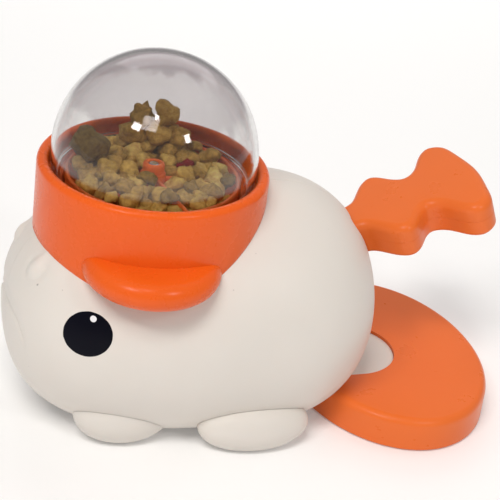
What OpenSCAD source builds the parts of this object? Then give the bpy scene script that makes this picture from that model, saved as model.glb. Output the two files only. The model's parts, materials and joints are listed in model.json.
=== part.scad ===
// Push button treat dispenser: a white egg-shaped animal with an orange hat.
// Pressing the tail turns the wheel under the clear dome by one compartment,
// and the treats of that compartment slide down a chute on to the plate behind.
// +X points to the tail, the face looks along -X, +Z is up and the floor is z = 0.
// The model is centred on the origin in X and Y.

/* [Body] */
// Greatest radius of the egg, round its long axis
body_r = 73.6; // [68:0.1:80]
// Length from the widest ring to the face
face_len = 126; // [118:0.5:134]
// Length from the widest ring to the rear
rear_len = 81; // [78:0.5:88]
// Bluntness of the face end, 2 is an ellipse
face_pow = 2.7; // [2.3:0.05:3.2]
// Bluntness of the rear end, 2 is an ellipse
rear_pow = 2.5; // [2.3:0.05:3]
// Depth of the slice that the flat belly takes off the egg
belly_cut = 20.8; // [19:0.1:23]
// Distance from the hopper's axis back to the widest ring
widest_x = 50.4; // [46:0.1:54]
// Thickness of the moulded shells
wall = 2.6; // [2:0.1:3.2]
// Height of the flat belly
belly_z = 8; // [6:0.1:9]
// Thickness of the base plate
base_t = 2.5; // [2:0.1:3.5]

/* [Face] */
// Radius of the eye
eye_r = 12.6; // [8:0.1:15]
// Distance of the eye in front of the hopper's axis
eye_x = 43; // [36:0.5:48]
// Height of the eye above the egg's long axis
eye_up = 15.6; // [8:0.2:19]
// Half the distance between the two nostrils
nostril_y = 22; // [14:0.5:28]
// Height of the nostrils above the egg's long axis
nostril_up = 34.2; // [28:0.2:37]
// Radius of a nostril bump
nostril_r = 5; // [3:0.1:7]
// Height of the mouth line's middle above the egg's long axis
mouth_up = 5.2; // [-2:0.2:11]
// Half the width of the mouth line
mouth_half = 28; // [18:0.5:32]
// Radius of the arch of the mouth line
mouth_r = 58; // [45:1:80]

/* [Hat and dome] */
// Height of the hat ring's top edge above the egg's crown
rim_up = 12.1; // [8:0.1:16]
// Width of the hat ring's rounded top edge
hat_rim = 6.5; // [5.5:0.1:8]
// Thickness of the hat ring's walls
hat_wall = 2.4; // [1.8:0.1:3]
// Depth of the ledge that carries the dome below the top edge
ledge_deep = 9; // [7:0.1:11]
// Thickness of the ledge
ledge_t = 3.2; // [2.5:0.1:3.4]
// How far the dome stands out past the turntable
dome_room = 8; // [7:0.1:9]
// Room round the dome in the hat ring
dome_fit = 0.5; // [0.3:0.1:1]
// Thickness of the dome
dome_wall = 2; // [1.4:0.1:2.6]
// Height of the dome's centre above the top edge
dome_up = 5.5; // [3:0.1:7]
// Radius of an ear flap
ear_r = 36.5; // [30:0.5:39]
// Thickness of an ear flap
ear_t = 16; // [13.5:0.1:17]
// Height of the middle of an ear flap above the egg's skin at the hat's wall
ear_up = 11.7; // [10:0.1:14]
// How far an ear's centre lies inside the hat's wall
ear_in = 16.5; // [14:0.5:20]
// Distance of an ear's centre in front of the hopper's axis
ear_x = 9.5; // [5:0.5:14]
// Droop of an ear flap in degrees
ear_tilt = 2; // [0:0.5:6]

/* [Hopper] */
// Radius of the turntable
table_r = 47; // [45:0.1:47.4]
// Height of the turntable's rim
table_h = 27; // [24:0.5:27.5]
// Number of compartments, which is also the number of ratchet teeth
compartments = 6; // [6]
// Thickness of a divider
divider_t = 2.2; // [1.6:0.1:3]
// Radius of the hub
hub_r = 6.8; // [6.4:0.1:8]
// Depth of the hopper's deck below the ledge of the dome
hopper_deep = 25; // [24:0.1:26]
// Radius of the drop hole
drop_r = 10.5; // [9:0.1:10.8]
// Distance of the drop hole from the axis
drop_out = 29; // [28:0.5:30]
// Turn of the drop hole from the chute's middle line in degrees
drop_turn = 8; // [5:1:9]
// Inner half width of the chute
chute_half = 14.5; // [13.8:0.1:14.6]
// Height of the chute's side walls
chute_side = 15; // [10:0.5:18]

/* [Tail and drive] */
// Distance of the tail's pivot from the egg's rear end
pivot_in = 31.4; // [30:0.2:33]
// Height of the tail's pivot above the egg's long axis
pivot_up = 33.2; // [32:0.2:36]
// Radius of the pivot pin
pin_r = 2.5; // [2:0.1:3]
// Upward slope of the tail at rest in degrees
tail_slope = 21.6; // [18:0.2:24]
// Press of the tail in degrees
press = 18; // [14:0.5:18]
// Thickness of the tail
tail_t = 20.6; // [19:0.1:21.5]
// Depth of the tail's under side below the line from its pivot
tail_under = 12.3; // [11:0.1:12.6]
// Radius of the rounded edges of the tail
tail_edge = 5; // [3:0.1:5.5]
// Radius of the turntable's shaft
shaft_r = 3; // [2.5:0.1:3.4]
// Radius of the ratchet wheel
ratchet_r = 16; // [14:0.1:16]
// Depth of a ratchet tooth
tooth_deep = 5; // [4:0.1:5]
// Thickness of the ratchet wheel
ratchet_t = 6; // [4:0.1:6]
// Distance of the rod's pin from the shaft
link_r = 19.5; // [18.5:0.1:20]
// Diameter of the return spring
spring_d = 8; // [6:0.1:8.4]
// Number of curls of the return spring
spring_turns = 14; // [8:1:18]
// Thickness of the spring's wire
spring_wire = 1; // [0.8:0.1:1.2]

/* [Paws and plate] */
// Distance of the front paws in front of the hopper's axis
front_paw_x = 15.5; // [12:0.5:18]
// How far the front paws' middle lies inside the belly's edge
front_paw_in = 4.3; // [3:0.1:8]
// Half length of a front paw
front_paw_len = 27.8; // [25:0.2:31]
// Radius of a front paw
front_paw_r = 18.2; // [16.5:0.1:20]
// Distance of the rear paws behind the hopper's axis
rear_paw_x = 54; // [50:0.5:57]
// How far the rear paws' middle lies outside the belly's edge
rear_paw_out = 6.4; // [4:0.1:8]
// Half length of a rear paw
rear_paw_len = 31.8; // [28:0.2:35]
// Radius of a rear paw
rear_paw_r = 15.5; // [14.5:0.1:17]
// Depth of a paw's round form below the floor line
paw_sink = 2.4; // [1.5:0.1:3]
// Distance of the plate's middle behind the egg's rear end
plate_out = 22.1; // [19:0.1:26]
// Half length of the plate
plate_len = 58; // [54:0.5:62]
// Half width of the plate
plate_half = 80; // [74:0.5:86]
// Height of the plate's top
plate_top = 20.2; // [19:0.1:23]
// Radius of the plate's rounded top edge
plate_edge = 4.5; // [2:0.1:6]
// Radius of the round end of the tongue
tongue_r = 28; // [24:0.5:29]
// Distance of the tongue's centre from the egg's rear end
tongue_in = 1.4; // [-2:0.1:5]
// Thickness of the rubber pads
pad_t = 2; // [1.2:0.1:2.2]

/* [Fits] */
// Radial clearance of a shaft in its bush
run_gap = 0.05; // [0.02:0.01:0.1]
// Clearance between pieces that sit in each other
seat_gap = 0.3; // [0.15:0.05:0.35]
// Room that a moving piece keeps
free_gap = 0.8; // [0.6:0.1:1]
// Radius of a screw's shank
screw_r = 1.5; // [1.2:0.1:1.7]
// Radius of a screw's head
head_r = 2.9; // [2.5:0.1:3]

/* [Hidden] */
$fn = 72;
far = 400;
orange = [0.93, 0.42, 0.13];
ivory = [0.90, 0.88, 0.84];
steel = [0.75, 0.76, 0.78];
black = [0.05, 0.05, 0.07];
grey = [0.45, 0.46, 0.48];

// Places along the length, measured from the hopper's axis
face_tip = widest_x - face_len;
rear_end = widest_x + rear_len;
pivot_x = rear_end - pivot_in;
plate_x = rear_end + plate_out;
tongue_x = rear_end - tongue_in;
plate_end = plate_x + plate_len;
hopper_x = -(face_tip + plate_end) / 2;

// Heights on the body
axis_z = belly_z + body_r - belly_cut;
eye_z = axis_z + eye_up;
nostril_z = axis_z + nostril_up;
mouth_z = axis_z + mouth_up;
pivot_z = axis_z + pivot_up;

// Sizes of the hat and the dome, which follow the turntable
dome_r = table_r + dome_room;
hat_bore = dome_r + dome_fit;
hat_r = hat_bore + hat_rim;
ear_y = hat_r - ear_in;
ear_z = egg_high(-ear_x, hat_r - hat_wall) + ear_up;

// Heights in the hopper
rim_z = axis_z + body_r + rim_up;
ledge_z = rim_z - ledge_deep;
deck_z = ledge_z - hopper_deep;
ledge_low = ledge_z - ledge_t;
dome_z = rim_z + dome_up;
dome_low = ledge_z + seat_gap;
bowl_wall = 2;
bowl_r = table_r + free_gap + bowl_wall + 0.7;
deck_t = 2.5;
deck_low = deck_z - deck_t;
table_z = deck_z + free_gap;
hub_top = rim_z - 0.5;
hub_step = hub_top - 5;
cap_r = hub_r - 0.9;
shaft_top = hub_top - 7;
mouth_r_top = hat_r - hat_wall - 1.7;
flange_t = 2.5;
post_r = 3.2;
post_place = (bowl_r + mouth_r_top) / 2 / sqrt(2);

// Heights under the belly and in the drive
base_top = belly_z + base_t;
tongue_top = plate_top - 1.8;
tongue_low = tongue_top - 3.2;
bush_top = base_top + 7;
shaft_low = base_top + 2.1;
carrier_low = bush_top + seat_gap;
carrier_t = 4.2;
carrier_top = carrier_low + carrier_t;
ratchet_z = carrier_top + 1;
pawl_t = ratchet_t - 1;
pawl_z = ratchet_z + 0.5;
pawl_spring_z = pawl_z + pawl_t + seat_gap;
link_pin_r = 2;
index = 360 / compartments;
arm_len = link_r * sin(index / 2) / sin(press / 2);
rod_z = pivot_z - arm_len * cos(press / 2);
rod_t = 4;
rod_travel = 2 * link_r * sin(index / 2);

// The ratchet's teeth face anticlockwise, seen from above; a pawl pushes clockwise
face_angle = 30;
nose_r = ratchet_r - tooth_deep / 2;
pawl_len = 16;
pawl_gap = 0.25;
nose_w = 3.4;
nose_angle = face_angle + (pawl_gap + nose_w / 2) / nose_r * 180 / PI;
pawl_pivot = polar(nose_r, nose_angle) + pawl_len * [-sin(nose_angle), cos(nose_angle)];
pawl_angle = atan2(pawl_pivot[1], pawl_pivot[0]);
pawl_hub = 4.2;

// Feet of the brackets and of the chute along the base
bracket_foot = [pivot_x - 32, pivot_x - 6];
bracket_screws_x = [pivot_x - 26, pivot_x - 12];
chute_legs = [pivot_x - 34, pivot_x - 6];

// Widths in the drive
chute_wall = 1.8;
chute_out = chute_half + chute_wall;
arm_in = chute_out + free_gap;
arm_t = 3;
rod_in = arm_in + arm_t + 0.4;
rod_w = 3;
rod_mid = rod_in + rod_w / 2;
hub_half = 25;
bracket_in = hub_half + free_gap;
bracket_t = 3;
horn_len = 25;
spring_y = bracket_in - 1 - spring_d / 2;
spring_low = pivot_z - 45;
clip_y = bracket_in + bracket_t + seat_gap;
bracket_screw_y = bracket_in + bracket_t + 3.6;

// Radius of the egg at a distance x from the hopper's axis, grown by g
function egg_radius(x, g = 0) =
    let (d = x - widest_x,
         len = (d < 0 ? face_len : rear_len) + g,
         p = d < 0 ? face_pow : rear_pow)
    (body_r + g) * pow(max(0, 1 - pow(abs(d) / len, p)), 1 / p);

// Half width of the egg at a place along it and a height, grown by g
function egg_half(x, z, g = 0) =
    sqrt(max(0, pow(egg_radius(x, g), 2) - pow(z - axis_z, 2)));

// Height of the egg's skin above a place in plan, grown by g
function egg_high(x, y, g = 0) =
    axis_z + sqrt(max(0, pow(egg_radius(x, g), 2) - y * y));

// Outline of the egg from face to rear as [radius, place], grown by g
function egg_outline(g) = concat(
    [for (i = [0:16]) let (t = 90 * i / 16)
        [(body_r + g) * pow(sin(t), 2 / face_pow),
         widest_x - (face_len + g) * pow(cos(t), 2 / face_pow)]],
    [for (i = [13:-1:0]) let (t = 90 * i / 14)
        [(body_r + g) * pow(sin(t), 2 / rear_pow),
         widest_x + (rear_len + g) * pow(cos(t), 2 / rear_pow)]]);

function reversed(v) = [for (i = [len(v) - 1:-1:0]) v[i]];
function polar(r, a) = [r * cos(a), r * sin(a)];

module at_hopper() { translate([hopper_x, 0, 0]) children(); }

// Turns a solid round Z into one round the egg's long axis
module on_axis() { translate([0, 0, axis_z]) rotate([0, 90, 0]) children(); }

module egg(g = 0) { on_axis() rotate_extrude() polygon(egg_outline(g)); }

// The egg with its flat belly, grown by g
module body_form(g = 0) {
    difference() {
        egg(g);
        translate([-far / 2, -far / 2, belly_z - g - far]) cube([far, far, far]);
    }
}

// One half of the hollow egg, on the +Y side, open at the belly and under the hat
module half_egg() {
    difference() {
        on_axis() rotate_extrude(angle = 180)
            polygon(concat(egg_outline(0), reversed(egg_outline(-wall))));
        translate([-far / 2, -far / 2, belly_z - far]) cube([far, far, far]);
        rotate([0, 0, -90]) translate([0, 0, deck_low - 6]) cylinder(r = mouth_r_top, h = 50);
    }
}

// How far each point of a closed anticlockwise outline moves for 1 mm inwards
function inward(outline) = let (n = len(outline),
        side = [for (i = [0:n - 1]) let (d = outline[(i + 1) % n] - outline[i]) [-d[1], d[0]] / norm(d)])
    [for (i = [0:n - 1]) let (a = side[(i + n - 1) % n], b = side[i]) (a + b) / (1 + a * b)];

// Triangles that close a ring of n points, in strips between its two sides
function end_faces(n) = [for (i = [0:ceil(n / 2) - 2]) let (j = n - 1 - i)
    each concat([[i, i + 1, j]], i + 1 < j - 1 ? [[i + 1, j - 1, j]] : [])];

// A closed form through rings of as many points each, given as [outline, height];
// the outlines run anticlockwise, and the first and the last ring are capped
module stacked(rings) {
    n = len(rings[0][0]);
    points = [for (ring = rings) for (p = ring[0]) [p[0], p[1], ring[1]]];
    sides = [for (k = [0:len(rings) - 2]) for (i = [0:n - 1]) let (j = (i + 1) % n)
        each [[k * n + i, (k + 1) * n + i, (k + 1) * n + j], [k * n + i, (k + 1) * n + j, k * n + j]]];
    low = end_faces(n);
    top = [for (f = low) [for (k = [2:-1:0]) (len(rings) - 1) * n + f[k]]];
    polyhedron(points, concat(sides, low, top));
}

// Rows of an upper quarter-round edge of radius r that ends at the height z, on a
// wall whose face lies d inside the outline
function round_edge(r, d, z, steps) = [for (k = [0:steps]) let (a = 90 * k / steps)
    [d + r * (1 - cos(a)), z - r * (1 - sin(a))]];

// Rows of a tray that opens downwards, with walls t thick between z0 and z1 and an
// outer edge radius r, each as [distance inside the outline, height]
function tray_rows(z0, z1, r, t) = concat(
    reversed(concat([[t, z0]], round_edge(max(r - t, 0.5), t, z1 - t, 2))),
    [[0, z0]], round_edge(r, 0, z1, 4));

// A wire that follows points, as one closed tube
module wire(path, r, sides = 6) {
    n = len(path);
    rings = [for (i = [0:n - 1])
        let (t0 = path[min(i + 1, n - 1)] - path[max(i - 1, 0)],
             t = t0 / norm(t0),
             side0 = cross([0, 0, 1], t),
             u = side0 / norm(side0),
             v = cross(t, u))
        [for (k = [0:sides - 1]) path[i] + r * (cos(360 * k / sides) * u + sin(360 * k / sides) * v)]];
    points = [for (ring = rings) for (p = ring) p];
    walls = [for (i = [0:n - 2]) for (k = [0:sides - 1]) let (m = (k + 1) % sides)
        each [[i * sides + k, i * sides + m, (i + 1) * sides + m],
              [i * sides + k, (i + 1) * sides + m, (i + 1) * sides + k]]];
    first = [for (k = [1:sides - 2]) [0, k + 1, k]];
    last = [for (k = [1:sides - 2]) [(n - 1) * sides, (n - 1) * sides + k, (n - 1) * sides + k + 1]];
    polyhedron(points, concat(walls, first, last));
}

function coil(r, turns, height) =
    [for (i = [0:8 * turns]) let (a = 45 * i) [r * cos(a), r * sin(a), height * i / (8 * turns)]];

// A pan-head screw whose head stands on z = 0 and whose shank points down
module screw(length) {
    cylinder(r = head_r, h = 2);
    translate([0, 0, -length]) cylinder(r = screw_r, h = length + 0.5);
    translate([0, 0, 2]) cylinder(r1 = head_r, r2 = head_r - 0.8, h = 0.6);
}

// ---- body shells ----

// Places of the bosses that join the two shells, as [x, z]: pegs at the face
// and over the belly, screws at the top and the rear
peg_joins = [[face_tip + 15, axis_z - 8.8], [face_tip + 29.6, base_top + 16.5], [56, base_top + 7]];
screw_joins = [[70, axis_z + body_r - 14.4], [rear_end - 14.4, axis_z + 1.5]];
shell_screw_y = 10;
shell_screw_len = 24;
boss_r = 4;

module shell_boss(x, z, r, y0, y1) {
    translate([x, y1, z]) rotate([90, 0, 0]) cylinder(r = r, h = y1 - y0, $fn = 32);
}

// Place and direction of the right eye
module on_eye() {
    translate([-eye_x, egg_half(-eye_x, eye_z), eye_z])
        rotate([-13, 0, 27]) rotate([-90, 0, 0]) children();
}

// The hole in a shell for the tail, tall enough for its whole press
slot_half = 16.5;
slot_low = pivot_z - tail_under - 0.8;
slot_top = pivot_z + 19.8;

// The outlet over the tongue, and the slit that the tongue passes
outlet_half = chute_out + 1;
outlet_top = tongue_top + 30;

// Columns for the screws of the base plate, as [x, y]
base_joins = [[face_tip + 27.6, 12], [pivot_x, egg_half(pivot_x, belly_z, -wall - seat_gap) - 6.9]];

// Shelves inside the shell that carry the hat's posts, below the deck
function lug_top(x) =
    let (thin_end = x < 0 ? x - post_r - 1 : x)
    min(deck_low - 1, axis_z - 1
        + sqrt(pow(egg_radius(thin_end) - wall, 2) - pow(post_place + post_r + 4, 2)));

module shell() {
    difference() {
        union() {
            half_egg();
            for (j = concat(peg_joins, screw_joins)) {
                intersection() {
                    shell_boss(j[0], j[1], boss_r, 0, body_r);
                    egg(-wall / 2);
                }
            }
            for (side = [-1, 1]) {
                intersection() {
                    translate([side * post_place - 5, post_place - 5, lug_top(side * post_place) - 3.5])
                        cube([10, 40, 3.5]);
                    egg(-wall / 2);
                }
            }
            for (b = base_joins) {
                intersection() {
                    translate([b[0], b[1], base_top]) cylinder(r = boss_r, h = 11, $fn = 32);
                    egg(-wall / 2);
                }
            }
            // webs that tie the screw columns to the wall
            intersection() {
                translate([base_joins[0][0] - 20, base_joins[0][1] - 1.5, base_top]) cube([20, 3, 11]);
                egg(-wall / 2);
            }
            intersection() {
                translate([base_joins[1][0] - 1.5, base_joins[1][1], base_top]) cube([3, 30, 11]);
                egg(-wall / 2);
            }
            // nostril, a drop that tapers upwards
            translate([nostril_place + 2.4, nostril_y, nostril_z]) sphere(r = nostril_r, $fn = 32);
            translate([nostril_place + 5.6, nostril_y - 0.5, nostril_z + 4.6])
                sphere(r = nostril_r * 0.7, $fn = 32);
        }
        translate([-far / 2, -far / 2, belly_z - far]) cube([far, far, far]);
        // tail slot, outlet and the slit of the tongue
        translate([pivot_x + 5, -slot_half, slot_low]) cube([60, 2 * slot_half, slot_top - slot_low]);
        translate([pivot_x + 9, -outlet_half, tongue_low])
            cube([60, 2 * outlet_half, outlet_top - tongue_low]);
        translate([pivot_x + 9, -tongue_r - seat_gap, tongue_low - seat_gap])
            cube([60, 2 * (tongue_r + seat_gap), tongue_top - tongue_low + 2 * seat_gap]);
        // seat of the eye
        difference() {
            on_eye() translate([0, 0, -6]) cylinder(r = eye_r + 0.05, h = 20);
            egg(-0.6);
        }
        // mouth line, a shallow arched groove in the skin
        difference() {
            intersection() {
                translate([face_tip - 5, 0, mouth_z - mouth_r]) rotate([0, 90, 0]) difference() {
                    cylinder(r = mouth_r + 0.8, h = 30);
                    translate([0, 0, -1]) cylinder(r = mouth_r - 0.8, h = 32);
                }
                translate([face_tip - 6, -mouth_half, mouth_z - 20]) cube([40, 2 * mouth_half, 40]);
            }
            egg(-1.1);
        }
        for (b = base_joins) {
            translate([b[0], b[1], 0]) cylinder(r = screw_r, h = base_top + 9, $fn = 24);
        }
        for (side = [-1, 1]) {
            translate([side * post_place, post_place, lug_top(side * post_place) - 8])
                cylinder(r = screw_r + 0.2, h = 12, $fn = 24);
            translate([side * post_place, post_place, lug_top(side * post_place) + 2])
                cylinder(r = post_r + seat_gap, h = 20, $fn = 32);
        }
    }
}

nostril_place = widest_x - face_len * pow(1 - pow(norm([nostril_y, nostril_z - axis_z]) / body_r, face_pow),
    1 / face_pow);

module left_shell() {
    color(ivory) at_hopper() mirror([0, 1, 0]) difference() {
        shell();
        for (j = concat(peg_joins, screw_joins)) {
            shell_boss(j[0], j[1], screw_r, -1, 16);
        }
    }
}

module right_shell() {
    color(ivory) at_hopper() {
        difference() {
            shell();
            for (j = screw_joins) {
                shell_boss(j[0], j[1], screw_r + 0.2, -1, body_r);
                shell_boss(j[0], j[1], head_r + 0.3, shell_screw_y, body_r + 5);
            }
        }
        for (j = peg_joins) {
            shell_boss(j[0], j[1], screw_r - run_gap, -10, 2);
        }
    }
}

module shell_screws() {
    color(steel) at_hopper() for (j = screw_joins) {
        translate([j[0], shell_screw_y, j[1]]) rotate([-90, 0, 0]) screw(shell_screw_len);
    }
}

module eye() {
    intersection() {
        on_eye() translate([0, 0, -6]) cylinder(r = eye_r, h = 20);
        difference() {
            egg(0.25);
            egg(-0.6);
        }
    }
}

module right_eye() { color(black) at_hopper() eye(); }
module left_eye() { color(black) at_hopper() mirror([0, 1, 0]) eye(); }

// ---- base, paws and pads ----

riser_x = pivot_x + 4.8;
plate_screw_x = tongue_x + 6;
paw_low = 0.8;
front_paw_y = egg_half(-front_paw_x, belly_z) - front_paw_in;
rear_paw_y = egg_half(rear_paw_x, belly_z) + rear_paw_out;
front_paw = [-front_paw_x, front_paw_y, front_paw_r - paw_sink, front_paw_len, front_paw_r];
rear_paw = [rear_paw_x, rear_paw_y, rear_paw_r - paw_sink, rear_paw_len, rear_paw_r];
pad_r = 6.5;
// Each paw has a root under the belly, which its screw enters
root_r = 6.5;
function paw_root(p) = [p[0] - 11, egg_half(p[0] - 11, belly_z, -wall - seat_gap) - 5.5];
post_place_stop = polar(norm(pawl_pivot), pawl_angle + 2 * index);

module base_plate() {
    color(ivory) at_hopper() difference() {
        union() {
            intersection() {
                egg(-wall - seat_gap);
                translate([-far / 2, -far / 2, belly_z]) cube([far, far, base_t]);
            }
            // riser and tongue that carries the plate behind
            translate([riser_x, -16, belly_z]) cube([3, 32, tongue_top - belly_z]);
            translate([tongue_x, 0, tongue_low]) cylinder(r = tongue_r, h = tongue_top - tongue_low);
            translate([riser_x, -tongue_r, tongue_low]) cube([tongue_x - riser_x, 2 * tongue_r, tongue_top - tongue_low]);
            // post of the stop pawl
            translate([post_place_stop[0], post_place_stop[1], belly_z]) {
                cylinder(r = 3.4, h = pawl_z - 0.2 - belly_z, $fn = 32);
                cylinder(r = link_pin_r, h = pawl_spring_z + 2.2 - belly_z, $fn = 32);
            }
        }
        for (b = base_joins) for (side = [-1, 1]) {
            translate([b[0], side * b[1], 0]) cylinder(r = screw_r + 0.2, h = 30, $fn = 24);
        }
        for (s = [paw_root(front_paw), paw_root(rear_paw)]) for (side = [-1, 1]) {
            translate([s[0], side * s[1], 0]) cylinder(r = screw_r + 0.2, h = 30, $fn = 24);
        }
        for (side = [-1, 1]) {
            translate([plate_screw_x, side * 14, 0]) cylinder(r = screw_r, h = tongue_top - 0.8, $fn = 24);
            for (x = bracket_screws_x) {
                translate([x, side * bracket_screw_y, 0]) cylinder(r = screw_r, h = 20, $fn = 24);
            }
            for (x = chute_legs) {
                translate([x - 3.6, side * 9, 0]) cylinder(r = screw_r, h = 13, $fn = 24);
            }
        }
    }
}

module paw(p) {
    root = paw_root(p);
    difference() {
        union() {
            translate([p[0], p[1], p[2]]) rotate([0, 90, 0]) rotate_extrude()
                polygon([for (i = [0:24]) let (t = 180 * i / 24) [p[4] * sin(t), -p[3] * cos(t)]]);
            translate([root[0], root[1], paw_low]) cylinder(r = root_r, h = belly_z - paw_low);
        }
        translate([-far / 2, -far / 2, paw_low - far]) cube([far, far, far]);
        body_form(0.02);
        translate([p[0], p[1], 0]) cylinder(r = pad_r + 0.1, h = pad_t);
        translate([root[0], root[1], pad_t + 1.4]) cylinder(r = screw_r, h = 20, $fn = 24);
    }
}

module front_right_paw() { color(ivory) at_hopper() paw(front_paw); }
module front_left_paw() { color(ivory) at_hopper() mirror([0, 1, 0]) paw(front_paw); }
module rear_right_paw() { color(ivory) at_hopper() paw(rear_paw); }
module rear_left_paw() { color(ivory) at_hopper() mirror([0, 1, 0]) paw(rear_paw); }

module paw_pads() {
    color(grey) at_hopper() for (p = [front_paw, rear_paw]) for (side = [-1, 1]) {
        translate([p[0], side * p[1], 0]) cylinder(r = pad_r, h = pad_t);
    }
}

module paw_screws() {
    color(steel) at_hopper() for (s = [paw_root(front_paw), paw_root(rear_paw)]) for (side = [-1, 1]) {
        translate([s[0], side * s[1], base_top]) screw(base_top - pad_t - 1.8);
    }
}

module base_screws() {
    color(steel) at_hopper() for (b = base_joins) for (side = [-1, 1]) {
        translate([b[0], side * b[1], belly_z]) mirror([0, 0, 1]) screw(base_t + 7);
    }
}

// ---- hat, ears and dome ----

module hat_ring() {
    round_r = (hat_r - hat_bore) / 2;
    mid_r = (hat_r + hat_bore) / 2;
    color(orange) at_hopper() union() {
        difference() {
            rotate_extrude($fn = 120) polygon(concat(
                [[hat_r, axis_z]],
                [for (i = [0:8]) let (a = 180 * i / 8)
                    [mid_r + round_r * cos(a), rim_z - round_r + round_r * sin(a)]],
                [[hat_bore, ledge_z], [bowl_r + 0.2, ledge_z], [bowl_r + 0.2, ledge_low],
                 [hat_bore + hat_wall, ledge_low], [hat_bore + hat_wall, rim_z - round_r],
                 [hat_r - hat_wall, rim_z - round_r], [hat_r - hat_wall, axis_z]]));
            body_form(0);
            for (a = [0:90:270]) {
                rotate([0, 0, a]) translate([screw_ring, 0, ledge_low - 1])
                    cylinder(r = screw_r, h = ledge_t - 0.2, $fn = 24);
            }
            for (side = [-1, 1]) ear_screw_places(side) rotate([0, 90, 0])
                cylinder(r = screw_r + 0.2, h = 20, center = true, $fn = 24);
        }
        // posts that stand on the shelves inside the shells
        for (sx = [-1, 1]) for (sy = [-1, 1]) {
            translate([sx * post_place, sy * post_place, lug_top(sx * post_place)]) difference() {
                cylinder(r = post_r, h = ledge_low + 0.5 - lug_top(sx * post_place), $fn = 32);
                translate([0, 0, -1]) cylinder(r = screw_r, h = 12, $fn = 24);
            }
        }
    }
}

screw_ring = bowl_r + 3.2;
ear_screw_z = ear_z + 0.5;
ear_screw_turn = 17;

module ear_screw_places(side) {
    for (turn = [-ear_screw_turn, ear_screw_turn]) {
        rotate([0, 0, side * (90 + asin(ear_x / hat_r)) + turn])
            translate([hat_r - hat_wall - 0.1, 0, ear_screw_z]) children();
    }
}

// A round cushion-shaped disc of radius r and thickness t
module soft_disc(r, t) {
    e = t / 2 - 0.2;
    rotate_extrude() polygon(concat(
        [[0, -t / 2]],
        [for (i = [0:8]) let (a = -90 + 180 * i / 8) [r - e + e * cos(a), (a < 0 ? -1 : 1) * (t / 2 - e) + e * sin(a)]],
        [[0, t / 2]]));
}

module ear() {
    difference() {
        union() {
            translate([-ear_x, ear_y, ear_z]) rotate([-ear_tilt, 0, 0]) difference() {
                soft_disc(ear_r, ear_t);
                soft_disc(ear_r - wall, ear_t - 2 * wall);
            }
            intersection() {
                ear_screw_places(1) rotate([0, 90, 0]) cylinder(r = 3.4, h = 12, $fn = 32);
                translate([-ear_x, ear_y, ear_z]) rotate([-ear_tilt, 0, 0]) soft_disc(ear_r, ear_t);
            }
        }
        translate([0, 0, axis_z]) cylinder(r = hat_r, h = far, $fn = 120);
        body_form(0.5);
        ear_screw_places(1) rotate([0, 90, 0]) cylinder(r = screw_r, h = 10, $fn = 24);
    }
}

module right_ear() { color(orange) at_hopper() ear(); }
module left_ear() { color(orange) at_hopper() mirror([0, 1, 0]) ear(); }

module ear_screws() {
    color(steel) at_hopper() for (side = [-1, 1]) {
        ear_screw_places(side) rotate([0, -90, 0]) screw(hat_wall + 6);
    }
}

module dome() {
    low_r = sqrt(pow(dome_r, 2) - pow(dome_z - dome_low, 2));
    color("lightblue", 0.35) at_hopper() union() {
        difference() {
            translate([0, 0, dome_z]) sphere(r = dome_r, $fn = 120);
            translate([0, 0, dome_z]) sphere(r = dome_r - dome_wall, $fn = 120);
            translate([-far / 2, -far / 2, dome_low - far]) cube([far, far, far]);
        }
        // foot of the dome that stands on the ledge
        translate([0, 0, dome_low]) difference() {
            cylinder(r = low_r + 0.9, h = 1.6, $fn = 120);
            translate([0, 0, -1]) cylinder(r = low_r - dome_wall, h = 4, $fn = 120);
        }
    }
}

// ---- hopper ----

module hopper_bowl() {
    color(orange) at_hopper() difference() {
        union() {
            translate([0, 0, deck_low]) cylinder(r = bowl_r, h = ledge_low - deck_low, $fn = 120);
            translate([0, 0, ledge_low - flange_t])
                cylinder(r = hat_bore + hat_wall - 0.2, h = flange_t, $fn = 120);
            translate([0, 0, deck_low - 6]) cylinder(r = 9, h = 7);
        }
        translate([0, 0, deck_z]) cylinder(r = bowl_r - bowl_wall, h = 60, $fn = 120);
        translate([0, 0, deck_low - 7]) cylinder(r = 6, h = 20);
        rotate([0, 0, drop_turn]) translate([drop_out, 0, deck_low - 1]) cylinder(r = drop_r, h = 10);
        for (sx = [-1, 1]) for (sy = [-1, 1]) {
            translate([sx * post_place, sy * post_place, deck_z + 4])
                cylinder(r = post_r + 0.3, h = 40, $fn = 32);
        }
        for (a = [0:90:270]) {
            rotate([0, 0, a]) translate([screw_ring, 0, deck_z + 8])
                cylinder(r = screw_r + 0.2, h = 30, $fn = 24);
        }
    }
}

module bowl_screws() {
    color(steel) at_hopper() for (a = [0:90:270]) {
        rotate([0, 0, a]) translate([screw_ring, 0, ledge_low - flange_t])
            mirror([0, 0, 1]) screw(flange_t + ledge_t - 1.4);
    }
}

module hat_screws() {
    color(steel) at_hopper() for (sx = [-1, 1]) for (sy = [-1, 1]) {
        translate([sx * post_place, sy * post_place, lug_top(sx * post_place) - 3.5])
            mirror([0, 0, 1]) screw(13);
    }
}

divider_phase = 40;
rim_w = 2.2;

// The hub with its cap and the dividers
module turntable() {
    recess = head_r + 0.4;
    reach = sqrt(pow(table_r - rim_w - 0.1, 2) - pow(divider_t / 2, 2));
    color(orange) at_hopper() union() {
        for (i = [0:compartments - 1]) {
            rotate([0, 0, divider_phase + index * i])
                translate([hub_r - 1.5, -divider_t / 2, table_z + 0.3])
                cube([reach - hub_r + 1.5, divider_t, table_h - 1.8]);
        }
        rotate([0, 0, 10]) rotate_extrude() polygon([
            [shaft_r, table_z], [hub_r, table_z], [hub_r, hub_step - 0.6], [hub_r - 0.6, hub_step],
            [cap_r, hub_step], [cap_r, hub_top - 0.6], [cap_r - 0.6, hub_top], [recess, hub_top],
            [recess, hub_top - 3], [screw_r + 0.2, hub_top - 3], [screw_r + 0.2, shaft_top],
            [shaft_r, shaft_top]]);
    }
}

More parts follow.
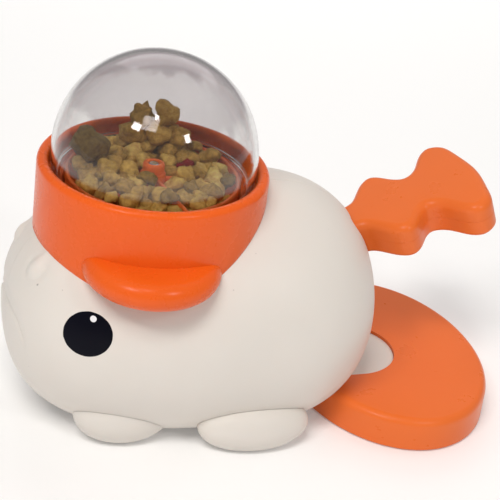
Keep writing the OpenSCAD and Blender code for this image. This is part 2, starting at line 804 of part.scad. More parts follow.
// The ring round the dividers, with its rounded top edge
module turntable_rim() {
    color(orange) at_hopper() rotate_extrude($fn = 120) polygon([
        [table_r - rim_w, table_z], [table_r, table_z], [table_r, table_z + table_h - 0.8],
        [table_r - 0.7, table_z + table_h], [table_r - rim_w + 0.7, table_z + table_h],
        [table_r - rim_w, table_z + table_h - 0.8]]);
}

module hub_screw() { color(steel) at_hopper() translate([0, 0, hub_top - 3]) screw(13); }

module shaft() {
    color(steel) at_hopper() difference() {
        translate([0, 0, shaft_low]) cylinder(r = shaft_r, h = shaft_top - shaft_low);
        translate([0, 0, shaft_top - 12]) cylinder(r = screw_r, h = 20, $fn = 24);
    }
}

module upper_bush() {
    color(grey) at_hopper() difference() {
        union() {
            translate([0, 0, deck_low - 6]) cylinder(r = 6, h = deck_z - deck_low + 6);
            translate([0, 0, deck_low - 7.5]) cylinder(r = 8, h = 1.5);
        }
        translate([0, 0, deck_low - 10]) cylinder(r = shaft_r + run_gap, h = 30);
    }
}

module foot_bush() {
    color(grey) at_hopper() difference() {
        union() {
            translate([0, 0, base_top]) cylinder(r = 6.5, h = bush_top - base_top);
            translate([0, 0, base_top]) cylinder(r = 10, h = 1.6);
        }
        translate([0, 0, shaft_low - 0.1]) cylinder(r = shaft_r + run_gap, h = 20);
    }
}

module chute() {
    run = chute_end_x - chute_x;
    drop = chute_top - (tongue_top + seat_gap + 0.5);
    slope = atan(drop / run);
    length = norm([run, drop]);
    color(ivory) at_hopper() union() {
        difference() {
            translate([chute_x, 0, chute_top]) rotate([0, slope, 0]) translate([-8, 0, 0])
                rotate([90, 0, 90]) linear_extrude(length + 12) polygon([
                    [-chute_out, -2], [chute_out, -2], [chute_out, chute_side], [chute_half, chute_side],
                    [chute_half, 0], [-chute_half, 0], [-chute_half, chute_side], [-chute_out, chute_side]
                ]);
            translate([-far / 2, -far / 2, deck_low - seat_gap]) cube([far, far, far]);
            translate([-far / 2, -far / 2, tongue_top + seat_gap - far]) cube([far, far, far]);
            translate([chute_end_x, -far / 2, -far / 2]) cube([far, far, far]);
            translate([chute_x - far, -far / 2, -far / 2]) cube([far, far, far]);
        }
        // wall behind the drop hole
        translate([chute_x - 1.8, 0.5 - chute_out, deck_low - seat_gap - 6.5]) cube([2.4, 2 * chute_out - 1, 6.3]);
        // legs with their feet
        for (x = chute_legs) {
            z = chute_top - (x + 1 - chute_x) * tan(slope) - 1.3;
            translate([x, 1 - chute_half, base_top]) cube([2.2, 2 * chute_half - 2, z - base_top]);
            translate([x - 7, -chute_half, base_top]) difference() {
                cube([8, 2 * chute_half, 2]);
                for (side = [-1, 1]) {
                    translate([3.4, chute_half + side * 9, -1]) cylinder(r = screw_r + 0.2, h = 4, $fn = 24);
                }
            }
        }
    }
}

chute_x = 13;
chute_top = deck_low - 2.5;
chute_end_x = tongue_x - 5;

module chute_screws() {
    color(steel) at_hopper() for (x = chute_legs) for (side = [-1, 1]) {
        translate([x - 3.6, side * 9, base_top + 2]) screw(4);
    }
}

// ---- ratchet drive ----

module ratchet_wheel() {
    root = ratchet_r - tooth_deep;
    color(grey) at_hopper() difference() {
        union() {
            translate([0, 0, ratchet_z]) linear_extrude(ratchet_t)
                polygon([for (k = [0:compartments - 1]) for (i = [0:5])
                    polar(root + tooth_deep * i / 5, face_angle + index * (k + i / 5) + 0.001 * (5 - i))]);
            translate([0, 0, carrier_top + seat_gap]) cylinder(r = 6, h = 2);
        }
        translate([0, 0, carrier_top - 1]) cylinder(r = shaft_r, h = 20);
    }
}

// Flat pawl for the tooth at face_angle, in its place beside the wheel
module pawl() {
    low = ratchet_r - tooth_deep + 0.4;
    high = ratchet_r - 0.1;
    difference() {
        union() {
            translate([0, 0, pawl_z]) linear_extrude(pawl_t) polygon([
                polar(low, face_angle + pawl_gap / low * 180 / PI),
                polar(high, face_angle + pawl_gap / high * 180 / PI),
                pawl_pivot + pawl_hub * 0.8 * polar(1, nose_angle),
                pawl_pivot - pawl_hub * 0.2 * polar(1, nose_angle),
                polar(low + 2.4, face_angle + 16.5)
            ]);
            translate([pawl_pivot[0], pawl_pivot[1], pawl_z]) cylinder(r = pawl_hub, h = pawl_t, $fn = 48);
        }
        translate([pawl_pivot[0], pawl_pivot[1], pawl_z - 1])
            cylinder(r = link_pin_r + run_gap, h = pawl_t + 2, $fn = 48);
    }
}

// Small spring round a pawl's pin, with a leg that bears on the pawl's back
module pawl_spring() {
    r = link_pin_r + 1;
    translate([pawl_pivot[0], pawl_pivot[1], pawl_spring_z + 0.35])
        wire(concat(coil(r, 2, 1.7), [[r + 1, 0.9, 1.75], [r + 3.5, 1.1, 1.75]]), 0.35);
}

module drive_pawl() { color(orange) at_hopper() pawl(); }
module drive_pawl_spring() { color(steel) at_hopper() pawl_spring(); }
module stop_pawl() { color(orange) at_hopper() rotate([0, 0, 2 * index]) pawl(); }
module stop_pawl_spring() { color(steel) at_hopper() rotate([0, 0, 2 * index]) pawl_spring(); }

link_angle = -90 + index / 2;

module pawl_carrier() {
    color(ivory) at_hopper() difference() {
        union() {
            translate([0, 0, carrier_low]) {
                cylinder(r = 8, h = carrier_t);
                rotate([0, 0, pawl_angle]) translate([0, -4, 0]) cube([norm(pawl_pivot), 8, carrier_t]);
                translate([pawl_pivot[0], pawl_pivot[1], 0]) {
                    cylinder(r = 5, h = carrier_t, $fn = 48);
                    cylinder(r = link_pin_r, h = pawl_spring_z + 2.2 - carrier_low, $fn = 48);
                    cylinder(r = link_pin_r + 1.5, h = pawl_z - 0.2 - carrier_low, $fn = 48);
                }
                rotate([0, 0, link_angle]) {
                    translate([0, -4, 0]) cube([link_r, 8, carrier_t]);
                    translate([link_r, 0, 0]) {
                        cylinder(r = 4.5, h = carrier_t, $fn = 48);
                        cylinder(r = link_pin_r, h = rod_z + rod_t / 2 + 1 - carrier_low, $fn = 48);
                    }
                }
            }
        }
        translate([0, 0, carrier_low - 1]) cylinder(r = shaft_r + run_gap, h = 20);
    }
}

// Slots at the rod's two ends take up the arcs of the pins that work it
link_swing = link_r * (1 - cos(index / 2));
rod_front_x = link_r * sin(index / 2);
rod_front_y = link_r * (1 + cos(index / 2)) / 2;
rod_rear_x = pivot_x + arm_len * sin(press / 2);
arm_swing = arm_len * (1 - cos(press / 2));
slot_gap = 0.45;

module long_slot(r, l, h) {
    for (s = [-1, 1]) translate([0, s * l / 2, 0]) cylinder(r = r, h = h, $fn = 48);
    translate([-r, -l / 2, 0]) cube([2 * r, l, h]);
}

module pull_rod() {
    slot_r = link_pin_r + slot_gap;
    color(ivory) at_hopper() difference() {
        union() {
            translate([rod_front_x, -rod_in - rod_w, rod_z - rod_t / 2])
                cube([rod_rear_x - rod_front_x, rod_w, rod_t]);
            translate([rod_front_x, -rod_front_y, rod_z - rod_t / 2]) long_slot(slot_r + 2.2, link_swing, rod_t);
            translate([rod_front_x - 4.65, -rod_in - rod_w, rod_z - rod_t / 2])
                cube([9.3, rod_in + rod_w - rod_front_y, rod_t]);
            translate([rod_rear_x, -rod_in, rod_z]) rotate([90, 0, 0]) long_slot(slot_r + 2.6, 2 * arm_swing, rod_w);
        }
        translate([rod_front_x, -rod_front_y, rod_z - rod_t]) long_slot(slot_r, link_swing, 2 * rod_t);
        translate([rod_rear_x, -rod_in + 1, rod_z]) rotate([90, 0, 0]) long_slot(slot_r, 2 * arm_swing, rod_w + 2);
    }
}

// ---- tail ----

module on_tail() { translate([pivot_x, 0, pivot_z]) rotate([0, -tail_slope, 0]) children(); }

// Half outline of the tail as [distance from the pivot, half width]: a neck,
// a small lobe, a waist and a wide end
tail_half = [
    [14, 12.4], [19, 12.4], [24, 12.6], [28.9, 15.8], [37.4, 27], [44.3, 31.3], [50.5, 29.1], [58, 20.3],
    [63.4, 17.9], [70.1, 22.5], [78.8, 34.6], [86.5, 38.2], [94.9, 32.8], [98.5, 18.8], [100.7, 0]
];

// A smooth curve through the points of v, with k steps between two of them
function smooth(v, k) = [for (i = [0:len(v) - 2]) for (j = [0:k - 1])
    let (t = j / k,
         a = v[max(i - 1, 0)], b = v[i], c = v[i + 1],
         d = i + 2 < len(v) ? v[i + 2] : [v[i][0], -v[i][1]])
    (2 * b + (c - a) * t + (2 * a - 5 * b + 4 * c - d) * t * t + (3 * b - a - 3 * c + d) * t * t * t) / 2];

tail_side = concat(smooth(tail_half, 3), [tail_half[len(tail_half) - 1]]);
tail_start = tail_half[0][0];
tail_end = tail_half[len(tail_half) - 1][0];

// Half outline of the tail at the distance d inside its edge: the places that
// the middle of a disc of radius d can reach
function tail_side_in(d) = [for (p = tail_side)
    let (s = tail_start + d + (p[0] - tail_start) * (1 - 2 * d / (tail_end - tail_start)))
    [s, max(0, min([for (a = [-90:10:90]) lookup(s + d * sin(a), tail_side) - d * cos(a)]))]];

function tail_inset(d) = let (side = tail_side_in(d)) concat(
    [for (p = side) [p[0], -p[1]]],
    [for (i = [len(side) - 2:-1:0]) side[i]]);
// The lever's tongue lies on a bed in the tail's lower shell, level with the seam
tail_top = tail_t - tail_under;
tongue_half = 8.5;
tongue_t = 5;
tail_seam = -tongue_t / 2;
tongue_end = 60;
tail_screw_at = [38, 54];

module tail_upper() {
    color(orange) at_hopper() on_tail() difference() {
        stacked([for (row = tray_rows(tail_seam, tail_top, tail_edge, wall)) [tail_inset(row[0]), row[1]]]);
        translate([0, -tongue_half - seat_gap, -far / 2])
            cube([20, 2 * (tongue_half + seat_gap), far / 2 + tongue_t / 2 + seat_gap]);
    }
}

module tail_lower() {
    // three flat layers, each a little smaller than the one above it
    layers = [[0, 3 - tail_under], [0.5, 1.2 - tail_under], [1.7, -tail_under]];
    color(orange) at_hopper() on_tail() difference() {
        union() {
            for (layer = layers) {
                translate([0, 0, layer[1]]) linear_extrude(tail_seam - layer[1])
                    polygon(tail_inset(layer[0]));
            }
        }
        // room inside, which leaves the bed of the tongue standing
        difference() {
            translate([0, 0, wall - tail_under]) linear_extrude(far) polygon(tail_inset(wall));
            translate([0, -tongue_half, -far / 2]) cube([tongue_end + 1.5, 2 * tongue_half, far]);
        }
        for (s = tail_screw_at) {
            translate([s, 0, -far / 2]) cylinder(r = screw_r + 0.2, h = far, $fn = 24);
            translate([s, 0, -tail_under - 1]) cylinder(r = head_r + 0.3, h = 3.6, $fn = 32);
        }
    }
}

module tail_screws() {
    color(steel) at_hopper() on_tail() for (s = tail_screw_at) {
        translate([s, 0, 2.6 - tail_under]) mirror([0, 0, 1]) screw(tail_under - 2.6 + tongue_t / 2 - 0.3);
    }
}

module tail_lever() {
    color(grey) at_hopper() difference() {
        union() {
            translate([pivot_x, hub_half, pivot_z]) rotate([90, 0, 0]) cylinder(r = 8, h = 2 * hub_half);
            on_tail() translate([0, -tongue_half, -tongue_t / 2]) cube([tongue_end, 2 * tongue_half, tongue_t]);
            // arm that works the rod
            translate([pivot_x, 0, pivot_z]) rotate([0, -press / 2, 0]) {
                translate([-4, -arm_in - arm_t, -arm_len]) cube([8, arm_t, arm_len]);
                translate([0, -arm_in, -arm_len]) rotate([90, 0, 0]) cylinder(r = 4.6, h = arm_t, $fn = 48);
                translate([0, -arm_in, -arm_len]) rotate([90, 0, 0])
                    cylinder(r = link_pin_r, h = arm_t + rod_w + 1.4, $fn = 48);
            }
            // horn that stretches the spring
            translate([pivot_x - horn_len - 3, hub_half - 2.2, pivot_z - 3]) cube([horn_len + 3, 2.2, 6]);
            translate([pivot_x - horn_len, hub_half, pivot_z]) rotate([90, 0, 0])
                cylinder(r = 1.5, h = hub_half - spring_y + spring_d / 2, $fn = 32);
        }
        translate([pivot_x, far / 2, pivot_z]) rotate([90, 0, 0]) cylinder(r = pin_r + run_gap, h = far, $fn = 48);
        for (s = tail_screw_at) {
            on_tail() translate([s, 0, -tongue_t]) cylinder(r = screw_r, h = 2 * tongue_t, $fn = 24);
        }
    }
}

pin_half = bracket_in + bracket_t + 3.4;

module tail_pin() {
    color(steel) at_hopper() translate([pivot_x, pin_half, pivot_z]) rotate([90, 0, 0])
        cylinder(r = pin_r, h = 2 * pin_half, $fn = 48);
}

module pin_clips() {
    color(steel) at_hopper() for (side = [-1, 1]) {
        translate([pivot_x, side * (clip_y + 0.5), pivot_z]) rotate([90, 0, 0]) difference() {
            cylinder(r = pin_r + 2, h = 1, center = true, $fn = 48);
            cylinder(r = pin_r, h = 3, center = true, $fn = 48);
        }
    }
}

module bracket() {
    difference() {
        union() {
            translate([0, bracket_in + bracket_t, 0]) rotate([90, 0, 0]) linear_extrude(bracket_t)
                polygon([
                    [bracket_foot[0], base_top], [bracket_foot[1], base_top],
                    [pivot_x + 6.8, pivot_z - 2], [pivot_x - 6.8, pivot_z + 2],
                    [pivot_x - horn_len - 5, spring_low + 8]
                ]);
            translate([pivot_x, bracket_in + bracket_t, pivot_z]) rotate([90, 0, 0]) cylinder(r = 7, h = bracket_t);
            translate([bracket_foot[0], bracket_in, base_top]) cube([bracket_foot[1] - bracket_foot[0], bracket_t + 7, 3]);
        }
        translate([pivot_x, far / 2, pivot_z]) rotate([90, 0, 0]) cylinder(r = pin_r, h = far, $fn = 48);
        for (x = bracket_screws_x) {
            translate([x, bracket_screw_y, 0]) cylinder(r = screw_r + 0.2, h = 40, $fn = 24);
        }
    }
}

module left_bracket() { color(ivory) at_hopper() mirror([0, 1, 0]) bracket(); }

// The right bracket also has the peg that anchors the return spring
module right_bracket() {
    color(ivory) at_hopper() {
        bracket();
        translate([pivot_x - horn_len, bracket_in + 0.5, spring_low]) rotate([90, 0, 0])
            cylinder(r = 1.5, h = bracket_in + 0.5 - spring_y + spring_d / 2, $fn = 32);
    }
}

module bracket_screws() {
    color(steel) at_hopper() for (x = bracket_screws_x) for (side = [-1, 1]) {
        translate([x, side * bracket_screw_y, base_top + 3]) screw(5);
    }
}

module return_spring() {
    low = spring_low + 1.5 + seat_gap + spring_wire / 2;
    high = pivot_z - 1.5 - seat_gap - spring_wire / 2;
    path = coil(spring_d / 2 - spring_wire / 2, spring_turns, high - low);
    echo(gap_between_curls = (high - low) / spring_turns - spring_wire);
    color(steel) at_hopper() translate([pivot_x - horn_len, spring_y, low]) wire(path, spring_wire / 2);
}

// ---- plate behind ----

plate_outline = [for (i = [0:71]) let (a = 5 * i)
    [plate_x + plate_len * cos(a), plate_half * sin(a)]];
plate_front = pivot_x - 3;
plate_wall = 2.5;
plate_feet = [[plate_x - 30, 52], [plate_x + 30, 40]];
shelf_top = tongue_low;
shelf_t = 2.5;

// The notch in front of the plate that the tongue fills, grown by g and h high
module notch(g, h) {
    translate([tongue_x, 0, 0]) cylinder(r = tongue_r + seat_gap + g, h = h);
    translate([plate_front - 10, -tongue_r - seat_gap - g, 0])
        cube([tongue_x - plate_front + 10, 2 * (tongue_r + seat_gap + g), h]);
}

module foot_plate() {
    color(orange) at_hopper() difference() {
        union() {
            stacked([for (row = tray_rows(paw_low, plate_top, plate_edge, plate_wall))
                [plate_outline + row[0] * inward(plate_outline), row[1]]]);
            // floor and walls of the notch that carries the tongue
            intersection() {
                translate([0, 0, shelf_top - shelf_t]) notch(plate_wall, plate_top - 1 - shelf_top + shelf_t);
                translate([plate_front, -far / 2, 0]) cube([far, far, far]);
            }
            for (f = plate_feet) for (side = [-1, 1]) {
                translate([f[0], side * f[1], pad_t]) cylinder(r = 8, h = plate_top - 1 - pad_t, $fn = 48);
            }
        }
        translate([plate_front - far, -far / 2, -far / 2]) cube([far, far, far]);
        translate([0, 0, shelf_top]) notch(0, far);
        body_form(seat_gap);
        // room under the belly for the heads of the base's screws
        translate([plate_front - 1, -base_joins[1][1] - 5, -1]) cube([9, 2 * base_joins[1][1] + 10, 10]);
        for (side = [-1, 1]) {
            translate([plate_screw_x, side * 14, 0]) cylinder(r = screw_r + 0.2, h = 30, $fn = 24);
        }
    }
}

module plate_screws() {
    color(steel) at_hopper() for (side = [-1, 1]) {
        translate([plate_screw_x, side * 14, shelf_top - shelf_t]) mirror([0, 0, 1])
            screw(shelf_t + tongue_top - tongue_low - 1);
    }
}

module plate_pads() {
    color(grey) at_hopper() for (f = plate_feet) for (side = [-1, 1]) {
        translate([f[0], side * f[1], 0]) cylinder(r = 7, h = pad_t, $fn = 48);
    }
}

left_shell();
right_shell();
left_eye();
right_eye();
base_plate();
front_left_paw();
front_right_paw();
rear_left_paw();
rear_right_paw();
paw_pads();
hat_ring();
left_ear();
right_ear();
hopper_bowl();
dome();
turntable();
turntable_rim();
hub_screw();
shaft();
upper_bush();
foot_bush();
ratchet_wheel();
pawl_carrier();
drive_pawl();
drive_pawl_spring();
stop_pawl();
stop_pawl_spring();
pull_rod();
tail_lever();
tail_upper();
tail_lower();
tail_pin();
pin_clips();
left_bracket();
right_bracket();
return_spring();
chute();
foot_plate();
plate_pads();
shell_screws();
base_screws();
paw_screws();
hat_screws();
bowl_screws();
ear_screws();
bracket_screws();
chute_screws();
plate_screws();
tail_screws();
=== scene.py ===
import json
import math
import random

import bmesh
import bpy
import numpy as np
from mathutils import Matrix, Vector, noise

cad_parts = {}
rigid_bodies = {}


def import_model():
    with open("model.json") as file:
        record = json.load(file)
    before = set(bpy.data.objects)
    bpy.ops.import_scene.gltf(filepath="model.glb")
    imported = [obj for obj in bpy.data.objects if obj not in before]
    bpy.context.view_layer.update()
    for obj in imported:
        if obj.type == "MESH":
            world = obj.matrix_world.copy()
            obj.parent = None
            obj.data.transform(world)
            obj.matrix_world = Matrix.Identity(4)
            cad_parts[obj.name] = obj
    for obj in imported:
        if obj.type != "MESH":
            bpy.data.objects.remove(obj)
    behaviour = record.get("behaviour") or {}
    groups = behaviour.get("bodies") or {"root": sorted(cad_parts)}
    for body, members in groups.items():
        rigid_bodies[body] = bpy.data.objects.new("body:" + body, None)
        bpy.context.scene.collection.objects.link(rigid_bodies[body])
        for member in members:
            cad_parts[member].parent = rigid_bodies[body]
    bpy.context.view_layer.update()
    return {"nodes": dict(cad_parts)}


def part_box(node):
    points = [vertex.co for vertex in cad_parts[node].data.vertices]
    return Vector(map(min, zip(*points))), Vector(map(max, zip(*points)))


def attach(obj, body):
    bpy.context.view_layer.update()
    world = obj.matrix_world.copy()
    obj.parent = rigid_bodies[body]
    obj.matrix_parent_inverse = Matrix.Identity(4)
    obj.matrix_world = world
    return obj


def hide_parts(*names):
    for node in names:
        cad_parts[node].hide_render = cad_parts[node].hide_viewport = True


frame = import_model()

# ---- Photographer's table ----
# A white studio table with a sky of soft white light, and the camera where the photograph
# was taken: above the left shoulder, and leaning a little to the left.
shaft_low, shaft_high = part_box("shaft")
hopper_x = (shaft_low.x + shaft_high.x) * 500  # millimetres from the frame's origin to the hopper's axis


def place(x, y, z):
    """A point given in millimetres from the hopper's axis, the middle plane and the floor."""
    return Vector(((x + hopper_x) / 1000, y / 1000, z / 1000))


turn, rise, lean = math.radians(21.1), math.radians(27.9), math.radians(7.7)
back = Vector((-math.sin(turn) * math.cos(rise), -math.cos(turn) * math.cos(rise), math.sin(rise)))
level = Vector((math.cos(turn), -math.sin(turn), 0))
upright = back.cross(level)
right = level * math.cos(lean) + upright * math.sin(lean)
above = upright * math.cos(lean) - level * math.sin(lean)
camera = bpy.data.objects.new("camera", bpy.data.cameras.new("camera"))
bpy.context.scene.collection.objects.link(camera)
camera.data.sensor_width = 36
camera.data.lens = 115.2
camera.data.clip_start = 0.05
camera.matrix_world = Matrix((right, above, back)).transposed().to_4x4()
camera.location = place(60.7, 0, 89.8) + back * 0.8946
bpy.context.scene.camera = camera

bpy.context.scene.view_settings.view_transform = "Standard"
sky = bpy.data.worlds.new("studio")
bpy.context.scene.world = sky
sky.use_nodes = True
sky.node_tree.nodes["Background"].inputs["Color"].default_value = (1.0, 0.985, 0.97, 1)
sky.node_tree.nodes["Background"].inputs["Strength"].default_value = 0.37

for name, spot, wide, deep, power, tint in (
    ("key_light", (-0.5, -0.75, 1.35), 0.42, 0.42, 8.6, (1.0, 0.97, 0.93)),
    ("rear_light", (0.6, 0.2, 1.2), 0.8, 0.8, 1.8, (1.0, 0.99, 0.97)),
    ("table_light", (0.45, 1.2, 0.8), 1.4, 0.9, 7.0, (1.0, 0.99, 0.98)),
    ("fill_light", (-1.1, -0.3, 0.45), 0.9, 0.9, 0.5, (0.96, 0.97, 1.0)),
    ("window", (-0.72, -0.57, 1.05), 0.20, 0.16, 2.6, (1.0, 0.99, 0.98)),
    ("ceiling_lamp", (-0.275, -0.56, 1.25), 0.09, 0.11, 0.8, (1.0, 0.99, 0.98)),
    ("side_window", (0.353, -0.916, 0.89), 0.13, 0.19, 1.6, (1.0, 0.99, 0.98)),
):
    lamp = bpy.data.lights.new(name, "AREA")
    lamp.shape, lamp.size, lamp.size_y, lamp.energy, lamp.color = "RECTANGLE", wide, deep, power, tint
    lamp_object = bpy.data.objects.new(name, lamp)
    lamp_object.location = spot
    aim = Vector((0.45, 1.0, 0)) if name == "table_light" else Vector((-0.05, 0, 0.1))
    lamp_object.rotation_euler = (aim - Vector(spot)).to_track_quat("-Z", "Y").to_euler()
    lamp_object.visible_glossy = not name.endswith("_light")
    bpy.context.scene.collection.objects.link(lamp_object)


def form(name, points, faces):
    """A new piece from points in metres and faces that may still lie double at poles and seams."""
    mesh = bpy.data.meshes.new(name)
    mesh.from_pydata([tuple(p) for p in points], [], faces)
    mesh.update()
    piece = bpy.data.objects.new(name, mesh)
    bpy.context.scene.collection.objects.link(piece)
    return piece


table_top = form("table", [(-3, -3, 0), (3, -3, 0), (3, 3, 0), (-3, 3, 0)], [(0, 1, 2, 3)])
paper = bpy.data.materials.new("white_paper")
paper.use_nodes = True
paper.node_tree.nodes["Principled BSDF"].inputs["Base Color"].default_value = (0.90, 0.895, 0.89, 1)
paper.node_tree.nodes["Principled BSDF"].inputs["Roughness"].default_value = 0.75
paper.node_tree.nodes["Principled BSDF"].inputs["Emission Color"].default_value = (1, 1, 1, 1)
paper.node_tree.nodes["Principled BSDF"].inputs["Emission Strength"].default_value = 0.1
table_top.data.materials.append(paper)

# ---- Body shells ----
# Two moulded halves of a white egg that meet on the middle plane in a fine seam. Matt
# ABS plastic with a soft grain, a few scuffs, and a face of two nostrils and a mouth line.
body_r, face_len, rear_len, face_pow, rear_pow = 73.6, 126.0, 81.0, 2.7, 2.5
axis_z, widest_x, wall, belly_z = 60.8, 50.4, 2.6, 8.0
face_tip = widest_x - face_len


def egg_radius(x, grow=0.0):
    d = np.asarray(x, float) - widest_x
    length = np.where(d < 0, face_len, rear_len) + grow
    power = np.where(d < 0, face_pow, rear_pow)
    inside = np.clip(1 - np.abs(d / length) ** power, 0, None)
    return (body_r + grow) * inside ** (1 / power)


def egg_profile(grow, face_steps, rear_steps):
    """Stations along the egg from face to rear: places, radii, and the skin's outward direction."""
    t = np.radians(np.linspace(0, 90, face_steps + 1))
    x_face = widest_x - (face_len + grow) * np.cos(t) ** (2 / face_pow)
    r_face = (body_r + grow) * np.sin(t) ** (2 / face_pow)
    t = np.radians(np.linspace(90, 0, rear_steps + 1))[1:]
    x_rear = widest_x + (rear_len + grow) * np.cos(t) ** (2 / rear_pow)
    r_rear = (body_r + grow) * np.sin(t) ** (2 / rear_pow)
    x, r = np.concatenate([x_face, x_rear]), np.concatenate([r_face, r_rear])
    dx, dr = np.gradient(x), np.gradient(r)
    length = np.hypot(dx, dr) + 1e-9
    return x, r, -dr / length, dx / length


def skin_point(x, angle, side):
    """A point on the egg and its outward direction, at an angle up from the belly on one side."""
    r = float(egg_radius(x))
    slope = (float(egg_radius(x + 0.2)) - float(egg_radius(x - 0.2))) / 0.4
    out = Vector((-slope, side * math.sin(angle), -math.cos(angle))).normalized()
    return Vector((x, side * r * math.sin(angle), axis_z - r * math.cos(angle))), out


def face_relief(p):
    """Height in millimetres of the face's relief over the plain egg, at points p of either half."""
    x, y, z = p[..., 0], np.abs(p[..., 1]), p[..., 2]
    u, v = (y - 20.4) * 1.05, z - 96.4
    lift = 2.1 * np.exp(-((u / 3.9) ** 2 + (v / 4.6) ** 2) ** 1.4)
    lift += 0.7 * np.exp(-(((u + 0.4) / 2.4) ** 2) - ((v - 6.5) / 4.4) ** 2)
    lift -= 0.35 * np.exp(-((np.hypot(u, v) - 6.6) / 1.8) ** 2) * (v < 4)
    lift = np.where(x < -40, lift, 0)
    mouth = 66.7 + 0.00267 * y ** 2 - 1.3455e-5 * y ** 4
    fade = 1 / (1 + np.exp((y - 30) / 1.3)) * (x < -50)
    lift -= 1.3 * np.exp(-((z - mouth) / 1.25) ** 2) * fade
    lift -= 0.7 * np.exp(-((z - mouth - 4) / 3.5) ** 2) * fade
    return lift


def half_shell(name, side):
    """One half as a closed wall: the outer skin with the face, the inner skin, and the seam's edge."""
    x, r, out_x, out_r = egg_profile(0, 96, 64)
    xi, ri, _, _ = egg_profile(-wall, 96, 64)
    angle = np.concatenate([[0, 0.0, 0.0], np.linspace(0.004, math.pi - 0.004, 170), [math.pi] * 3])
    count = len(angle)
    sink = np.zeros(count)
    gap = np.zeros(count)
    sink[[0, 1, 2, -3, -2, -1]] = [0.5, 0.22, 0.04, 0.04, 0.22, 0.5]
    gap[[0, 1, 2, -3, -2, -1]] = [0.05, 0.07, 0.2, 0.2, 0.07, 0.05]
    outer = np.stack([
        np.repeat(x[:, None], count, 1),
        side * np.maximum(r[:, None] * np.sin(angle), gap * np.minimum(1, r[:, None] / 3)),
        axis_z - r[:, None] * np.cos(angle)], -1)
    normal = np.stack([
        np.repeat(out_x[:, None], count, 1), side * out_r[:, None] * np.sin(angle),
        -out_r[:, None] * np.cos(angle)], -1)
    lift = face_relief(outer) - sink[None, :] * np.minimum(1, r[:, None] / 3)
    outer = outer + normal * lift[..., None]
    outer[..., 0] = np.maximum(outer[..., 0], face_tip + 0.02)
    inner = np.stack([
        np.repeat(xi[:, None], count, 1), side * np.maximum(ri[:, None] * np.sin(angle), gap * 0.5),
        axis_z - ri[:, None] * np.cos(angle)], -1)
    rows = len(x)
    points = [place(*p) for p in np.concatenate([outer.reshape(-1, 3), inner.reshape(-1, 3)])]
    at = lambda skin, i, j: (skin * rows + i) * count + j
    faces = []
    for skin in (0, 1):
        faces += [(at(skin, i, j), at(skin, i + 1, j), at(skin, i + 1, j + 1), at(skin, i, j + 1))
                  for i in range(rows - 1) for j in range(count - 1)]
    for j in (0, count - 1):
        faces += [(at(0, i, j), at(0, i + 1, j), at(1, i + 1, j), at(1, i, j)) for i in range(rows - 1)]
    return form(name, points, faces)


def bands(rows, around):
    """Faces of a form made of rings of points, row after row, each closed on itself."""
    sides = [(k * around, i, (i + 1) % around) for k in range(rows - 1) for i in range(around)]
    return [(start + i, start + j, start + around + j, start + around + i) for start, i, j in sides]


def tidy(piece, near=1e-6):
    """Joins double points, drops what has no area, and turns every face outwards."""
    work = bmesh.new()
    work.from_mesh(piece.data)
    bmesh.ops.remove_doubles(work, verts=work.verts, dist=near)
    bmesh.ops.dissolve_degenerate(work, dist=near, edges=work.edges)
    bmesh.ops.recalc_face_normals(work, faces=work.faces)
    work.to_mesh(piece.data)
    work.free()
    return piece


def polish(piece, crease=38):
    """Smooth shading that keeps every edge sharper than the crease angle."""
    work = bmesh.new()
    work.from_mesh(piece.data)
    for f in work.faces:
        f.smooth = True
    for e in work.edges:
        e.smooth = len(e.link_faces) == 2 and e.calc_face_angle(0) < math.radians(crease)
    work.to_mesh(piece.data)
    work.free()
    return piece


def carve(piece, *tools):
    """Cuts the tools out of the piece and throws them away."""
    for tool in tools:
        cut = piece.modifiers.new("cut", "BOOLEAN")
        cut.object, cut.operation, cut.solver = tool, "DIFFERENCE", "EXACT"
    bpy.context.view_layer.update()
    seen = piece.evaluated_get(bpy.context.evaluated_depsgraph_get())
    carved = bpy.data.meshes.new_from_object(seen)
    piece.modifiers.clear()
    piece.data = carved
    return piece


def prism(name, outline, low, high, across="z"):
    """A straight block over an outline, upright or lying along x."""
    n = len(outline)
    stack = [(a, b, c) for c in (low, high) for a, b in outline]
    if across == "x":
        stack = [(c, a, b) for a, b, c in stack]
    faces = [tuple(range(n))[::-1], tuple(range(n, 2 * n))]
    faces += [(i, (i + 1) % n, n + (i + 1) % n, n + i) for i in range(n)]
    return tidy(form(name, [place(*p) for p in stack], faces))


def rounded_box(half_w, low, high, r, steps=8):
    """Outline of an upright rounded rectangle, as (y, z)."""
    spots = [(half_w - r, high - r, 0), (r - half_w, high - r, 90),
             (r - half_w, low + r, 180), (half_w - r, low + r, 270)]
    bends = [(y, z, math.radians(a + 90 * k / steps)) for y, z, a in spots for k in range(steps + 1)]
    return [(y + r * math.cos(a), z + r * math.sin(a)) for y, z, a in bends]


def circle(x, y, r, steps):
    return [(x + r * math.cos(2 * math.pi * k / steps), y + r * math.sin(2 * math.pi * k / steps))
            for k in range(steps)]


